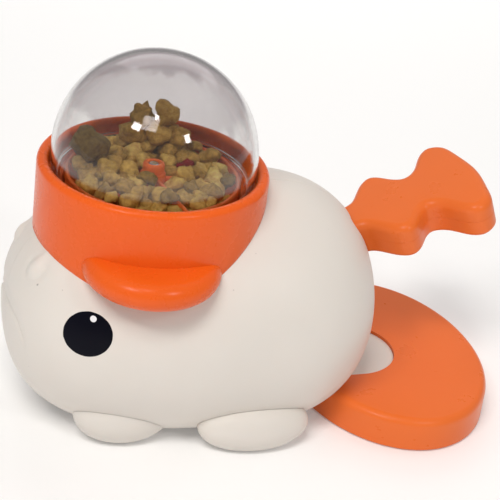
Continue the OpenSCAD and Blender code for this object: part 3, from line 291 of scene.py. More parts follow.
def plastic(name, colour, roughness, grain=0.1, mottle=0.05, scuffs=0.0, glow=0.0, gloss=0.5):
    """Moulded plastic: an even colour with faint flow marks, a fine eroded grain and rare scuffs."""
    made = bpy.data.materials.new(name)
    made.use_nodes = True
    tree = made.node_tree
    shader = tree.nodes["Principled BSDF"]
    where = tree.nodes.new("ShaderNodeTexCoord")

    def marks(scale, detail, rough=0.5):
        cloud = tree.nodes.new("ShaderNodeTexNoise")
        cloud.inputs["Scale"].default_value = scale
        cloud.inputs["Detail"].default_value = detail
        cloud.inputs["Roughness"].default_value = rough
        tree.links.new(where.outputs["Object"], cloud.inputs["Vector"])
        return cloud.outputs["Fac"]

    def spread(value, a, b, low, high):
        band = tree.nodes.new("ShaderNodeMapRange")
        for socket, number in zip(("From Min", "From Max", "To Min", "To Max"), (a, b, low, high)):
            band.inputs[socket].default_value = number
        tree.links.new(value, band.inputs["Value"])
        return band.outputs["Result"]

    def blend(fac, first, second):
        mix = tree.nodes.new("ShaderNodeMix")
        mix.data_type = "RGBA"
        tree.links.new(fac, mix.inputs["Factor"])
        for socket, value in ((mix.inputs[6], first), (mix.inputs[7], second)):
            if isinstance(value, tuple):
                socket.default_value = value
            else:
                tree.links.new(value, socket)
        return mix.outputs[2]

    light = tuple(min(1, c * (1 + mottle)) for c in colour) + (1,)
    deep = tuple(c * (1 - mottle) for c in colour) + (1,)
    paint = blend(spread(marks(14, 4), 0.35, 0.65, 0, 1), deep, light)
    if scuffs:
        spots = spread(marks(230, 2, 0.4), 0.775, 0.80, 0, scuffs)
        paint = blend(spots, paint, (0.16, 0.15, 0.14, 1))
    tree.links.new(paint, shader.inputs["Base Color"])
    wear_and_painted_reflection = spread(marks(55, 5, 0.6), 0.3, 0.7, roughness - 0.05, roughness + 0.06)
    tree.links.new(wear_and_painted_reflection, shader.inputs["Roughness"])
    relief = tree.nodes.new("ShaderNodeBump")
    relief.inputs["Strength"].default_value = grain
    relief.inputs["Distance"].default_value = 0.0002
    tree.links.new(marks(1500, 3, 0.6), relief.inputs["Height"])
    tree.links.new(relief.outputs["Normal"], shader.inputs["Normal"])
    if glow:
        shader.inputs["Subsurface Weight"].default_value = glow
        shader.inputs["Subsurface Radius"].default_value = (1.0, 0.6, 0.45)
        shader.inputs["Subsurface Scale"].default_value = 0.004
    shader.inputs["IOR"].default_value = 1.5
    shader.inputs["Specular IOR Level"].default_value = gloss
    return made


def finish(piece, material, body, slot, *nodes):
    """Gives a piece its material, the body it rides on, and the nodes it stands for. The slot is not used."""
    piece.data.materials.clear()
    piece.data.materials.append(material)
    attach(piece, body)
    if nodes:
        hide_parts(*nodes)
    return piece


def paint(material, *nodes):
    """Gives a material to CAD nodes that stay as they are."""
    for n in nodes:
        frame["nodes"][n].data.materials.clear()
        frame["nodes"][n].data.materials.append(material)


white_plastic = plastic("white_abs", (0.735, 0.685, 0.63), 0.46, grain=0.08, mottle=0.018, scuffs=0.55,
                        glow=0.08)
deck_low, hat_r, mouth_r = 110.0, 62.0, 57.9
slot_low, slot_high, slot_half = 80.9, 113.8, 16.5
outlet_low, outlet_high, outlet_half = 15.0, 48.4, 17.3
tongue_low, tongue_high, tongue_slot = 14.9, 18.7, 28.3
back_x, past_back = 109, 150
for name, side in (("left_half", -1), ("right_half", 1)):
    shell = tidy(half_shell(name, side))
    carve(
        shell,
        prism("belly_cut", [(-90, -90), (150, -90), (150, 90), (-90, 90)], -60, belly_z),
        prism("hopper_cut", circle(0, 0, mouth_r, 120), deck_low - 6, 170),
        prism("tail_cut", rounded_box(slot_half, slot_low, slot_high, 5), 105, past_back, "x"),
        prism("outlet_cut", rounded_box(outlet_half, outlet_low, outlet_high, 8), back_x, past_back, "x"),
        prism("tongue_cut", rounded_box(tongue_slot, tongue_low, tongue_high, 0.6, 2),
              back_x, past_back, "x"),
    )
    for tool in [o for o in bpy.data.objects if o.name.split(".")[0].endswith("_cut")]:
        bpy.data.objects.remove(tool)
    finish(polish(shell, 42), white_plastic, "body", "white_plastic", name.replace("half", "shell"))

# ---- Eyes ----
# A big round black eye on each cheek, printed in thick gloss ink, with a white painted
# highlight (glint) near its upper edge.
eye_x, eye_z, eye_long, eye_high = -43.1, 76.4, 13.1, 12.4


def eye_patch(name, side):
    angle = math.acos((axis_z - eye_z) / float(egg_radius(eye_x)))
    centre, out = skin_point(eye_x, angle, side)
    along = (Vector((1, 0, 0)) - out * out.x).normalized()
    high = out.cross(along) * side
    if high.z < 0:
        high = -high
    points, rings, spokes = [], 14, 72
    for skin in (0, 1):
        for k in range(rings + 1):
            for s in range(spokes):
                a, f = 2 * math.pi * s / spokes, k / rings
                rag = 1 + 0.006 * math.sin(9 * a) * math.sin(5 * a + 1)
                flat = centre + f * rag * (along * eye_long * math.cos(a) + high * eye_high * math.sin(a))
                d = Vector((0, flat.y, flat.z - axis_z))
                rim = 0.5 if skin else -0.22 * math.sqrt(max(0, 1 - f ** 6))
                d = d.normalized() * (float(egg_radius(flat.x)) - rim)
                points.append(place(flat.x, d.y, d.z + axis_z))
    ring = lambda skin, k, s: (skin * (rings + 1) + k) * spokes + s % spokes
    faces = [(ring(skin, k, s), ring(skin, k, s + 1), ring(skin, k + 1, s + 1), ring(skin, k + 1, s))
             for skin in (0, 1) for k in range(rings) for s in range(spokes)]
    faces += [(ring(0, rings, s), ring(0, rings, s + 1), ring(1, rings, s + 1), ring(1, rings, s))
              for s in range(spokes)]
    return tidy(form(name, points, faces)), centre, along, high


eye_black = plastic("eye_ink", (0.0022, 0.0022, 0.0065), 0.34, grain=0.03, mottle=0.2, gloss=0.1)
# colour of the painted highlight on each eye
painted_highlight_white = plastic("glint_ink", (0.82, 0.82, 0.84), 0.3, grain=0.02, mottle=0.02)
for name, side in (("left_eye_ink", -1), ("right_eye_ink", 1)):
    patch, centre, along, high = eye_patch(name, side)
    finish(polish(patch), eye_black, "body", "eye_inlay", name.replace("_ink", ""))
    # painted highlight: a small white disc on the eye stands in for a lamp's reflection
    spot = centre + along * 2.6 + high * 8.6
    points, spokes = [], 28
    for lift, size in ((0.24, 0.0), (0.27, 1.2), (0.24, 1.75), (0.0, 1.75), (0.0, 0.0)):
        for s in range(spokes):
            a = 2 * math.pi * s / spokes
            flat = spot + size * (along * math.cos(a) + high * math.sin(a))
            d = Vector((0, flat.y, flat.z - axis_z)).normalized() * (float(egg_radius(flat.x)) + lift)
            points.append(place(flat.x, d.y, d.z + axis_z))
    glint = tidy(form(name.replace("ink", "glint"), points, bands(5, spokes)))
    finish(polish(glint), painted_highlight_white, "body", "eye_inlay")

# ---- Hat ring ----
# The orange hat is a moulded ring that sits over the egg's crown. Its foot follows the
# egg's skin, its top edge is fully round, and a ledge inside carries the dome.
rim_z, hat_bore, hat_wall, ledge_z, ledge_low, ledge_in = 146.5, 55.5, 2.4, 137.5, 134.3, 50.7
orange_hat = plastic("orange_abs", (0.80, 0.112, 0.009), 0.27, grain=0.02, mottle=0.03, glow=0.04, gloss=0.3)


def egg_top(x, y):
    """Height of the egg's skin over a place in plan."""
    return axis_z + math.sqrt(max(0, float(egg_radius(x)) ** 2 - y * y))


def ring_profile(foot, foot_in):
    mid, r = (hat_r + hat_bore) / 2, (hat_r - hat_bore) / 2
    section = [(hat_r - 0.5, foot), (hat_r - 0.15, foot + 0.15), (hat_r, foot + 0.5)]
    section += [(hat_r, foot + (rim_z - r - foot) * k / 8) for k in range(1, 8)]
    section += [(mid + r * math.cos(math.radians(a)), rim_z - r + r * math.sin(math.radians(a)))
                for a in range(0, 181, 12)]
    section += [(hat_bore, ledge_z + 0.8), (hat_bore - 0.25, ledge_z + 0.25), (hat_bore - 0.8, ledge_z)]
    section += [(ledge_in + 0.5, ledge_z), (ledge_in, ledge_z - 0.5), (ledge_in, ledge_low)]
    inside = hat_r - hat_wall
    section += [(inside, ledge_low), (inside, foot_in + 0.3), (inside + 0.3, foot_in)]
    return section


def lathe(name, profile_at, steps, closed=True):
    """A form turned round the hopper's axis: profile_at(angle) gives the section as (radius, height)."""
    points, count = [], 0
    for s in range(steps):
        a = 2 * math.pi * s / steps
        section = profile_at(a)
        count = len(section)
        points += [place(r * math.cos(a), r * math.sin(a), z) for r, z in section]
    last = count if closed else count - 1
    faces = [(s * count + k, ((s + 1) % steps) * count + k, ((s + 1) % steps) * count + (k + 1) % count,
              s * count + (k + 1) % count) for s in range(steps) for k in range(last)]
    return tidy(form(name, points, faces))


def hat_section(a):
    foot = egg_top(hat_r * math.cos(a), hat_r * math.sin(a)) + 0.12
    foot_in = egg_top((hat_r - hat_wall) * math.cos(a), (hat_r - hat_wall) * math.sin(a)) + 0.12
    return ring_profile(foot, foot_in)


hat = lathe("hat", hat_section, 288)
finish(polish(hat, 50), orange_hat, "body", "orange_plastic", "hat_ring")

# ---- Ears ----
# Two thick rounded flaps that grow out of the hat's sides and droop a little. Orange ABS,
# screwed on from inside the hat.
ear_x, ear_y, ear_z, ear_r, ear_t, ear_tilt = -9.5, 45.5, 108.78, 36.5, 16.0, 2.0


def egg_block(grow):
    """A solid egg with its flat belly, grown by some millimetres, for cutting other pieces to it."""
    x, r, _, _ = egg_profile(grow, 60, 44)
    angle = np.linspace(0, 2 * math.pi, 121)[:-1]
    count = len(angle)
    points = [place(xi, ri * math.sin(a), max(belly_z - grow, axis_z - ri * math.cos(a)))
              for xi, ri in zip(x, r) for a in angle]
    return tidy(form("egg_tool", points, bands(len(x), count)))


def ear_flap(name, side):
    spokes, points, half = 180, [], ear_t / 2
    section = [(0.0, half - 0.1)] + [(ear_r * f, half - 0.1 - 0.7 * f ** 4) for f in (0.3, 0.55, 0.7, 0.77)]
    section += [(ear_r - 7.2 + 7.2 * math.cos(math.radians(a)), 7.7 * math.sin(math.radians(a)) - 0.3)
                for a in range(80, -91, -8)]
    section += [(ear_r * f, -half) for f in (0.75, 0.5, 0.0)]
    tip, sway = math.cos(math.radians(ear_tilt)), math.sin(math.radians(ear_tilt))
    for r, h in section:
        for k in range(spokes):
            a = 2 * math.pi * k / spokes
            v = r * math.sin(a)
            y, z = ear_y + v * tip + h * sway, ear_z - v * sway + h * tip
            points.append(place(ear_x + r * math.cos(a), side * y, z))
    return tidy(form(name, points, bands(len(section), spokes)))


for name, side in (("left_flap", -1), ("right_flap", 1)):
    hat_tool = prism("hat_tool", circle(0, 0, hat_r + 0.03, 288), 50, 170)
    flap = carve(ear_flap(name, side), hat_tool, egg_block(0.4))
    for tool in ("hat_tool", "egg_tool"):
        bpy.data.objects.remove(bpy.data.objects[tool])
    finish(polish(flap, 50), orange_hat, "body", "orange_plastic", name.replace("flap", "ear"))

# ---- Paws ----
# Four solid white feet, each a round drop cut off flat over its rubber pad and hollowed
# to the egg's belly. A root under the belly takes the screw from the base.
def paw(name, x, y, z, half_len, r, side):
    points, rings, spokes = [], 48, 96
    for i in range(rings + 1):
        t = math.pi * i / rings
        for k in range(spokes):
            a = 2 * math.pi * k / spokes
            h = z + r * math.sin(t) * math.sin(a)
            if h < 2.8:
                h = 0.8 + 2.0 * math.exp((h - 2.8) / 2.0)
            points.append(place(x - half_len * math.cos(t), side * (y + r * math.sin(t) * math.cos(a)), h))
    return tidy(form(name, points, bands(rings + 1, spokes)))


front_paw = ("front", -15.5, 39.46, 15.8, 27.8, 18.2)
rear_paw = ("rear", 54.0, 57.6, 13.1, 31.8, 15.5)
pad_top, root_back, root_r = 0.8, 11, 6.5
for name, x, y, z, half_len, r in (front_paw, rear_paw):
    root_x = x - root_back
    root_y = math.sqrt(float(egg_radius(root_x)) ** 2 - (axis_z - belly_z) ** 2) - 9.2
    for word, side in (("left", -1), ("right", 1)):
        foot = carve(paw(f"{name}_{word}_foot", x, y, z, half_len, r, side), egg_block(0.15))
        root = prism("root", circle(root_x, side * root_y, root_r, 48), pad_top, belly_z - 0.15)
        joined = bmesh.new()
        joined.from_mesh(foot.data)
        joined.from_mesh(root.data)
        joined.to_mesh(foot.data)
        joined.free()
        for tool in ("egg_tool", "root"):
            bpy.data.objects.remove(bpy.data.objects[tool])
        finish(polish(foot, 42), white_plastic, "body", "white_plastic", f"{name}_{word}_paw")

# ---- Turntable ----
# The orange wheel with six compartments: a thin round-edged rim, upright dividers, and a
# stepped hub that is screwed down on the shaft.
table_r, rim_w, table_z, table_h, divider_t, hub_r, cap_r = 47.0, 2.2, 113.3, 27.0, 2.2, 6.8, 5.9
hub_top, hub_step, hub_hole = 146.0, 141.0, 3.3
orange_table = plastic("orange_abs_wheel", (0.86, 0.17, 0.03), 0.38, grain=0.06, mottle=0.04, glow=0.08,
                       gloss=0.3)
rim = lathe("wheel_rim", lambda a: [
    (table_r - rim_w, table_z), (table_r, table_z)] + [
    (table_r - rim_w / 2 + rim_w / 2 * math.cos(math.radians(t)),
     table_z + table_h - rim_w / 2 + rim_w / 2 * math.sin(math.radians(t))) for t in range(0, 181, 20)], 240)
hub = lathe("wheel_hub", lambda a: [
    (3.05, table_z), (hub_r, table_z), (hub_r, hub_step - 1.2), (hub_r - 0.35, hub_step - 0.35),
    (hub_r - 1.0, hub_step), (cap_r, hub_step + 0.1), (cap_r, hub_top - 1.3), (cap_r - 0.4, hub_top - 0.4),
    (cap_r - 1.2, hub_top), (hub_hole + 0.5, hub_top), (hub_hole, hub_top - 0.5), (hub_hole, hub_top - 3),
    (1.75, hub_top - 3), (1.75, hub_top - 7), (3.05, hub_top - 7)], 72)
wheel_parts = [rim, hub]
for i in range(6):
    a = math.radians(40 + 60 * i)
    half = divider_t / 2
    top = table_z + table_h - 1.5 - half
    section = [(-half, table_z + 0.3), (half, table_z + 0.3)] + [
        (half * math.cos(math.radians(t)), top + half * math.sin(math.radians(t))) for t in range(0, 181, 30)]
    points = [place(d * math.cos(a) - w * math.sin(a), d * math.sin(a) + w * math.cos(a), h)
              for d in (hub_r - 1.2, table_r - 1.2) for w, h in section]
    n = len(section)
    faces = [tuple(range(n)), tuple(range(n, 2 * n))[::-1]]
    faces += [(k, (k + 1) % n, n + (k + 1) % n, n + k) for k in range(n)]
    wheel_parts.append(tidy(form(f"divider_{i}", points, faces)))
joined = bmesh.new()
for part in wheel_parts:
    joined.from_mesh(part.data)
wheel = bpy.data.objects.new("wheel", bpy.data.meshes.new("wheel"))
joined.to_mesh(wheel.data)
joined.free()
bpy.context.scene.collection.objects.link(wheel)
for part in wheel_parts:
    bpy.data.objects.remove(part)
finish(polish(wheel, 40), orange_table, "turntable", "orange_plastic", "turntable", "turntable_rim")

# ---- Treats ----
# Baked kibble heaped in the wheel: brown and ochre lumps of many sizes, a few big chunks,
# and one dark red one. They lie on the deck and on each other.
draw = random.Random(7)
lumps = np.zeros((0, 4))  # x, y, z, radius in millimetres


def rest_height(x, y, r):
    """Height at which a lump comes to rest on the deck, on the dividers or on the lumps below it."""
    z = 112.8 + r * 0.8
    off = np.hypot(lumps[:, 0] - x, lumps[:, 1] - y)
    reach = 0.84 * (lumps[:, 3] + r)
    near = off < reach
    if near.any():
        z = max(z, float(np.max(lumps[near, 2] + 0.94 * np.sqrt(reach[near] ** 2 - off[near] ** 2))))
    return z


dividers_at = [math.radians(40 + 60 * i) for i in range(6)]
shown_divider, chunk_r = 4, 6.4


def drop_lump(spots, r, heap=0.0):
    """Lets one lump settle at the lowest of some spots. A heap above 0 favours the far side."""
    global lumps
    best = None
    for x, y in spots:
        d, a = math.hypot(x, y), math.atan2(y, x)
        from_wall = [abs(d * math.sin(a - wall_at)) if math.cos(a - wall_at) > 0 else 99
                     for wall_at in dividers_at]
        if d < hub_r + r * 0.75 or from_wall[shown_divider] < r * 0.95:
            continue
        z = rest_height(x, y, r)
        if z < 136 and min(from_wall) < r * 0.8:
            z = 138.2 + r * 0.6
        if math.hypot(d, max(0, z - 152)) > 50.5 - r:
            continue
        if best is None or z - heap * y < best[0]:
            best = (z - heap * y, x, y, z)
    if best and best[3] < 142.2 + 0.05 * best[2] + 60 * (r > chunk_r):
        lumps = np.vstack([lumps, [best[1], best[2], best[3], r]])


def ring_spots(count, room):
    """Random places in the wheel that keep some room from its rim."""
    made = []
    for _ in range(count):
        a, d = draw.uniform(0, 2 * math.pi), math.sqrt(draw.uniform(0.03, 1)) * (44.6 - room)
        made.append((d * math.cos(a), d * math.sin(a)))
    return made


for _ in range(430):
    r = draw.uniform(3.9, 5.8)
    drop_lump(ring_spots(40, r), r)
for x, y, r in ((-33, 12, 9.8), (-6, 29, 6.8), (7, 27, 7.0), (18, 24, 6.5), (-1, 30, 6.9), (12, 28, 6.6)):
    drop_lump([(x + draw.uniform(-1, 1), y + draw.uniform(-1, 1)) for _ in range(12)], r)
for _ in range(16):
    r = draw.uniform(4.2, 5.6)
    drop_lump([(x, y) for x, y in ring_spots(30, r) if y > 2], r, 0.3)


def is_covered(x, y, z, r):
    """Whether more than three lumps lie over a lump."""
    over = np.hypot(lumps[:, 0] - x, lumps[:, 1] - y) < 0.75 * (lumps[:, 3] + r)
    return np.sum(over & (lumps[:, 2] > z + 3)) > 3


covered = [is_covered(*lump) for lump in lumps]


def kibble_form(name, seed, roundness, detail):
    """One lump: a ball pushed in and out by slow and fast noise, with a crackled crust."""
    work = bmesh.new()
    bmesh.ops.create_icosphere(work, subdivisions=detail, radius=1)
    shift = Vector((seed * 3.7, seed * 1.3, seed * 2.1))
    for v in work.verts:
        p = v.co.normalized()
        slow = noise.noise(p * 1.2 + shift) * (0.62 - roundness * 0.3)
        mid = noise.noise(p * 2.9 + shift) * 0.24
        crust = (abs(noise.noise(p * 6.5 + shift)) - 0.2) * 0.12
        v.co = p * (1 + slow + mid + crust)
    mesh = bpy.data.meshes.new(name)
    work.to_mesh(mesh)
    work.free()
    for f in mesh.polygons:
        f.use_smooth = True
    return bpy.data.objects.new(name, mesh)


shapes = bpy.data.collections.new("kibble_shapes")
for k in range(9):
    shapes.objects.link(kibble_form(f"kibble_{k}", k + 1, 0.3 * (k % 3), 3 if k < 6 else 1))

biscuit = bpy.data.materials.new("biscuit")
biscuit.use_nodes = True
tree = biscuit.node_tree
shader = tree.nodes["Principled BSDF"]
shader.inputs["Specular IOR Level"].default_value = 0.15
tint = tree.nodes.new("ShaderNodeAttribute")
tint.attribute_name = "bake"
bake = tree.nodes.new("ShaderNodeValToRGB")
tones = [(0.0, (0.16, 0.10, 0.03)), (0.22, (0.28, 0.175, 0.045)), (0.45, (0.47, 0.285, 0.066)),
         (0.72, (0.64, 0.41, 0.105)), (0.95, (0.74, 0.52, 0.19)), (0.985, (0.24, 0.013, 0.016))]
while len(bake.color_ramp.elements) < len(tones):
    bake.color_ramp.elements.new(0.5)
for stop, (spot, colour) in zip(bake.color_ramp.elements, tones):
    stop.position, stop.color = spot, colour + (1,)
tree.links.new(tint.outputs["Fac"], bake.inputs["Fac"])
where = tree.nodes.new("ShaderNodeTexCoord")
crumb = tree.nodes.new("ShaderNodeTexNoise")
crumb.inputs["Scale"].default_value = 420
crumb.inputs["Detail"].default_value = 6
crumb.inputs["Roughness"].default_value = 0.65
tree.links.new(where.outputs["Object"], crumb.inputs["Vector"])
dust = tree.nodes.new("ShaderNodeMix")
dust.data_type = "RGBA"
dust.blend_type = "OVERLAY"
dust.inputs["Factor"].default_value = 0.75
tree.links.new(bake.outputs["Color"], dust.inputs[6])
grey_crumb = tree.nodes.new("ShaderNodeValToRGB")
grey_crumb.color_ramp.elements[0].color = (0.32, 0.30, 0.28, 1)
grey_crumb.color_ramp.elements[1].color = (0.80, 0.79, 0.76, 1)
grey_crumb.color_ramp.elements[0].position, grey_crumb.color_ramp.elements[1].position = 0.32, 0.68
tree.links.new(crumb.outputs["Fac"], grey_crumb.inputs["Fac"])
tree.links.new(grey_crumb.outputs["Color"], dust.inputs[7])
tree.links.new(dust.outputs[2], shader.inputs["Base Color"])
pits = tree.nodes.new("ShaderNodeBump")
pits.inputs["Strength"].default_value = 0.7
pits.inputs["Distance"].default_value = 0.0006
tree.links.new(crumb.outputs["Fac"], pits.inputs["Height"])
tree.links.new(pits.outputs["Normal"], shader.inputs["Normal"])
shader.inputs["Roughness"].default_value = 0.72

heap = form("treats", [place(*p[:3]) for p in lumps], [])
for word, kind in (("size", "FLOAT_VECTOR"), ("spin", "FLOAT_VECTOR"), ("bake", "FLOAT"), ("shape", "INT")):
    heap.data.attributes.new(word, kind, "POINT")
red_one = int(np.argmin(np.hypot(lumps[:, 0] - 18, lumps[:, 1] - 4) - 0.2 * lumps[:, 2]))
for k, (x, y, z, r) in enumerate(lumps):
    size = (r * draw.uniform(1.02, 1.22), r * draw.uniform(0.85, 1.0), r * draw.uniform(0.74, 0.95))
    heap.data.attributes["size"].data[k].vector = [v / 1000 for v in size]
    spin = (draw.uniform(-0.6, 0.6), draw.uniform(-0.6, 0.6), draw.uniform(0, 6.28))
    heap.data.attributes["spin"].data[k].vector = spin
    if r > 9:
        tone = 0.08
    elif r > chunk_r:
        tone = draw.uniform(0.4, 0.66)
    else:
        tone = min(0.93, max(0.2, draw.gauss(0.58, 0.17)))
    heap.data.attributes["bake"].data[k].value = 0.99 if k == red_one else tone
    heap.data.attributes["shape"].data[k].value = draw.randrange(6, 9) if covered[k] else draw.randrange(6)

scatter = bpy.data.node_groups.new("heap_of_treats", "GeometryNodeTree")
scatter.interface.new_socket("Places", in_out="INPUT", socket_type="NodeSocketGeometry")
scatter.interface.new_socket("Shapes", in_out="INPUT", socket_type="NodeSocketCollection")
scatter.interface.new_socket("Crust", in_out="INPUT", socket_type="NodeSocketMaterial")
scatter.interface.new_socket("Heap", in_out="OUTPUT", socket_type="NodeSocketGeometry")


def add(tree, kind, **settings):
    node = tree.nodes.new(kind)
    for key, value in settings.items():
        setattr(node, key, value)
    return node


def named(tree, word, kind):
    source = add(tree, "GeometryNodeInputNamedAttribute", data_type=kind)
    source.inputs["Name"].default_value = word
    return next(o for o in source.outputs if o.enabled and o.name == "Attribute")


start, end = add(scatter, "NodeGroupInput"), add(scatter, "NodeGroupOutput")
pick = add(scatter, "GeometryNodeCollectionInfo")
pick.inputs["Separate Children"].default_value = True
pick.inputs["Reset Children"].default_value = True
drop = add(scatter, "GeometryNodeInstanceOnPoints")
drop.inputs["Pick Instance"].default_value = True
scatter.links.new(start.outputs["Shapes"], pick.inputs["Collection"])
scatter.links.new(start.outputs["Places"], drop.inputs["Points"])
scatter.links.new(pick.outputs[0], drop.inputs["Instance"])
scatter.links.new(named(scatter, "shape", "INT"), drop.inputs["Instance Index"])
scatter.links.new(named(scatter, "spin", "FLOAT_VECTOR"), drop.inputs["Rotation"])
scatter.links.new(named(scatter, "size", "FLOAT_VECTOR"), drop.inputs["Scale"])
solid, coat = add(scatter, "GeometryNodeRealizeInstances"), add(scatter, "GeometryNodeSetMaterial")
scatter.links.new(drop.outputs["Instances"], solid.inputs["Geometry"])
scatter.links.new(solid.outputs["Geometry"], coat.inputs["Geometry"])
scatter.links.new(start.outputs["Crust"], coat.inputs["Material"])
scatter.links.new(coat.outputs["Geometry"], end.inputs["Heap"])


def grow(piece, tree, **inputs):
    """Runs a node tree on the piece with the given inputs and keeps its plain mesh."""
    step = piece.modifiers.new("grow", "NODES")
    step.node_group = tree
    for item in tree.interface.items_tree:
        if item.item_type == "SOCKET" and item.in_out == "INPUT" and item.name in inputs:
            step[item.identifier] = inputs[item.name]
    bpy.context.view_layer.update()
    made = bpy.data.meshes.new_from_object(piece.evaluated_get(bpy.context.evaluated_depsgraph_get()))
    piece.modifiers.clear()
    piece.data = made
    return piece


grow(heap, scatter, Shapes=shapes, Crust=biscuit)
finish(heap, biscuit, "turntable", "orange_plastic")

# ---- Dome ----
# A blown ball of clear plastic, open below, that stands on the hat's ledge. Fine scratches
# show as a faint haze in its roughness, and a painted reflection makes its upper half greyer.
dome_r, dome_wall, dome_z, dome_low = 55.0, 2.0, 152.0, 137.8
low_a = math.degrees(math.asin((dome_low - dome_z) / dome_r))
low_b = math.degrees(math.asin((dome_low - dome_z) / (dome_r - dome_wall)))


def dome_arc(r, turns):
    """Points of the dome's section at radius r, at angles in degrees."""
    return [(r * math.cos(math.radians(t)), dome_z + r * math.sin(math.radians(t))) for t in turns]


outer = dome_arc(dome_r, np.linspace(low_a + 2.2, 90, 90))
inner = dome_arc(dome_r - dome_wall, np.linspace(90, low_b, 90))
foot_r = dome_r * math.cos(math.radians(low_a))
clear_section = [(foot_r, dome_low), (foot_r + 0.7, dome_low + 0.2), (foot_r + 0.9, dome_low + 0.8),
                 (foot_r + 0.75, dome_low + 1.5)] + outer + inner
clear_section = [(max(r, 0), z) for r, z in clear_section]
bubble = lathe("bubble", lambda a: clear_section, 192)
clear = bpy.data.materials.new("clear_plastic")
clear.use_nodes = True
tree = clear.node_tree
shader = tree.nodes["Principled BSDF"]
shader.inputs["Transmission Weight"].default_value = 1.0
shader.inputs["IOR"].default_value = 1.46
where = tree.nodes.new("ShaderNodeTexCoord")
edge = tree.nodes.new("ShaderNodeLayerWeight")
edge.inputs["Blend"].default_value = 0.3
tone = tree.nodes.new("ShaderNodeValToRGB")
tone.color_ramp.elements[0].color = (1, 1, 1, 1)
tone.color_ramp.elements[1].color = (0.84, 0.82, 0.83, 1)
tone.color_ramp.elements[1].position = 0.9
tree.links.new(edge.outputs["Facing"], tone.inputs["Fac"])
smear = tree.nodes.new("ShaderNodeTexNoise")
smear.inputs["Scale"].default_value = 30
smear.inputs["Detail"].default_value = 6
smear.inputs["Distortion"].default_value = 1.5
tree.links.new(where.outputs["Object"], smear.inputs["Vector"])
haze = tree.nodes.new("ShaderNodeMapRange")
haze.inputs["From Min"].default_value, haze.inputs["From Max"].default_value = 0.45, 0.75
haze.inputs["To Min"].default_value, haze.inputs["To Max"].default_value = 0.02, 0.09
tree.links.new(smear.outputs["Fac"], haze.inputs["Value"])
tree.links.new(haze.outputs["Result"], shader.inputs["Roughness"])
# the upper half is painted greyer, with an uneven lower edge: a painted reflection
height = tree.nodes.new("ShaderNodeSeparateXYZ")
tree.links.new(where.outputs["Object"], height.inputs["Vector"])
ragged = tree.nodes.new("ShaderNodeMath")
ragged.operation = "MULTIPLY_ADD"
ragged.inputs[1].default_value = 0.03
tree.links.new(smear.outputs["Fac"], ragged.inputs[0])
tree.links.new(height.outputs["Z"], ragged.inputs[2])
# painted reflection: a grey tint over the dome's upper half
wear_and_painted_reflection = tree.nodes.new("ShaderNodeValToRGB")
wear_and_painted_reflection.color_ramp.elements[0].position, wear_and_painted_reflection.color_ramp.elements[0].color = 0.0, (0.93, 0.925, 0.92, 1)
wear_and_painted_reflection.color_ramp.elements[1].position, wear_and_painted_reflection.color_ramp.elements[1].color = 1.0, (0.69, 0.66, 0.67, 1)
band = tree.nodes.new("ShaderNodeMapRange")
band.inputs["From Min"].default_value, band.inputs["From Max"].default_value = 0.193, 0.199
tree.links.new(ragged.outputs["Value"], band.inputs["Value"])
tree.links.new(band.outputs["Result"], wear_and_painted_reflection.inputs["Fac"])
tinted = tree.nodes.new("ShaderNodeMix")
tinted.data_type, tinted.blend_type = "RGBA", "MULTIPLY"
tinted.inputs["Factor"].default_value = 1.0
tree.links.new(wear_and_painted_reflection.outputs["Color"], tinted.inputs[6])
tree.links.new(tone.outputs["Color"], tinted.inputs[7])
tree.links.new(tinted.outputs[2], shader.inputs["Base Color"])
finish(polish(bubble, 30), clear, "dome", "clear_plastic", "dome")

# ---- Tail ----
# The push lever: two orange shells screwed round the lever's tongue. A neck, a small lobe,
# a waist and a broad end, with softly rolled edges and a parting line round the middle.
pivot_x, pivot_z, tail_slope = 100.0, 94.0, math.radians(21.6)
tail_top, tail_under, tail_seam, tail_wall = 8.3, 12.3, -2.5, 2.6
tail_half = [(14, 12.4), (19, 12.4), (24, 12.6), (28.9, 15.8), (37.4, 27), (44.3, 31.3), (50.5, 29.1),
             (58, 20.3), (63.4, 17.9), (70.1, 22.5), (78.8, 34.6), (86.5, 38.2), (94.9, 32.8), (98.5, 18.8),
             (100.7, 0)]
orange_tail = plastic("orange_abs_tail", (0.80, 0.158, 0.025), 0.31, grain=0.03, mottle=0.025, glow=0.04,
                      gloss=0.35)


def smooth_line(v, k):
    """Points on a smooth curve through the points v, mirrored past its last point."""
    line = []
    for i in range(len(v) - 1):
        a, b, c = v[max(i - 1, 0)], v[i], v[i + 1]
        d = v[i + 2] if i + 2 < len(v) else (v[i][0], -v[i][1])
        for j in range(k):
            t = j / k
            line.append(tuple((2 * b[n] + (c[n] - a[n]) * t + (2 * a[n] - 5 * b[n] + 4 * c[n] - d[n]) * t * t
                               + (3 * b[n] - a[n] - 3 * c[n] + d[n]) * t ** 3) / 2 for n in (0, 1)))
    return line + [v[-1]]


def layered(name, rings, put):
    """A closed form through rings of points, each an (outline, height). put places a point."""
    n = len(rings[0][0])
    points = [put(x, y, h) for outline, h in rings for x, y in outline]
    faces = bands(len(rings), n) + [tuple(range(n))[::-1], tuple(range((len(rings) - 1) * n, len(rings) * n))]
    return tidy(form(name, points, faces))


def on_tail(s, y, h):
    return place(pivot_x + s * math.cos(tail_slope) - h * math.sin(tail_slope), y,
                 pivot_z + s * math.sin(tail_slope) + h * math.cos(tail_slope))


def rolled(r, z, up, steps=9):
    """Rows of a quarter-round edge that ends at height z, from the wall to the face."""
    turns = [math.pi / 2 * k / steps for k in range(steps + 1)]
    return [(r * (1 - math.cos(a)), z - up * r * (1 - math.sin(a))) for a in turns]


tail_line = np.array(smooth_line(tail_half, 8))


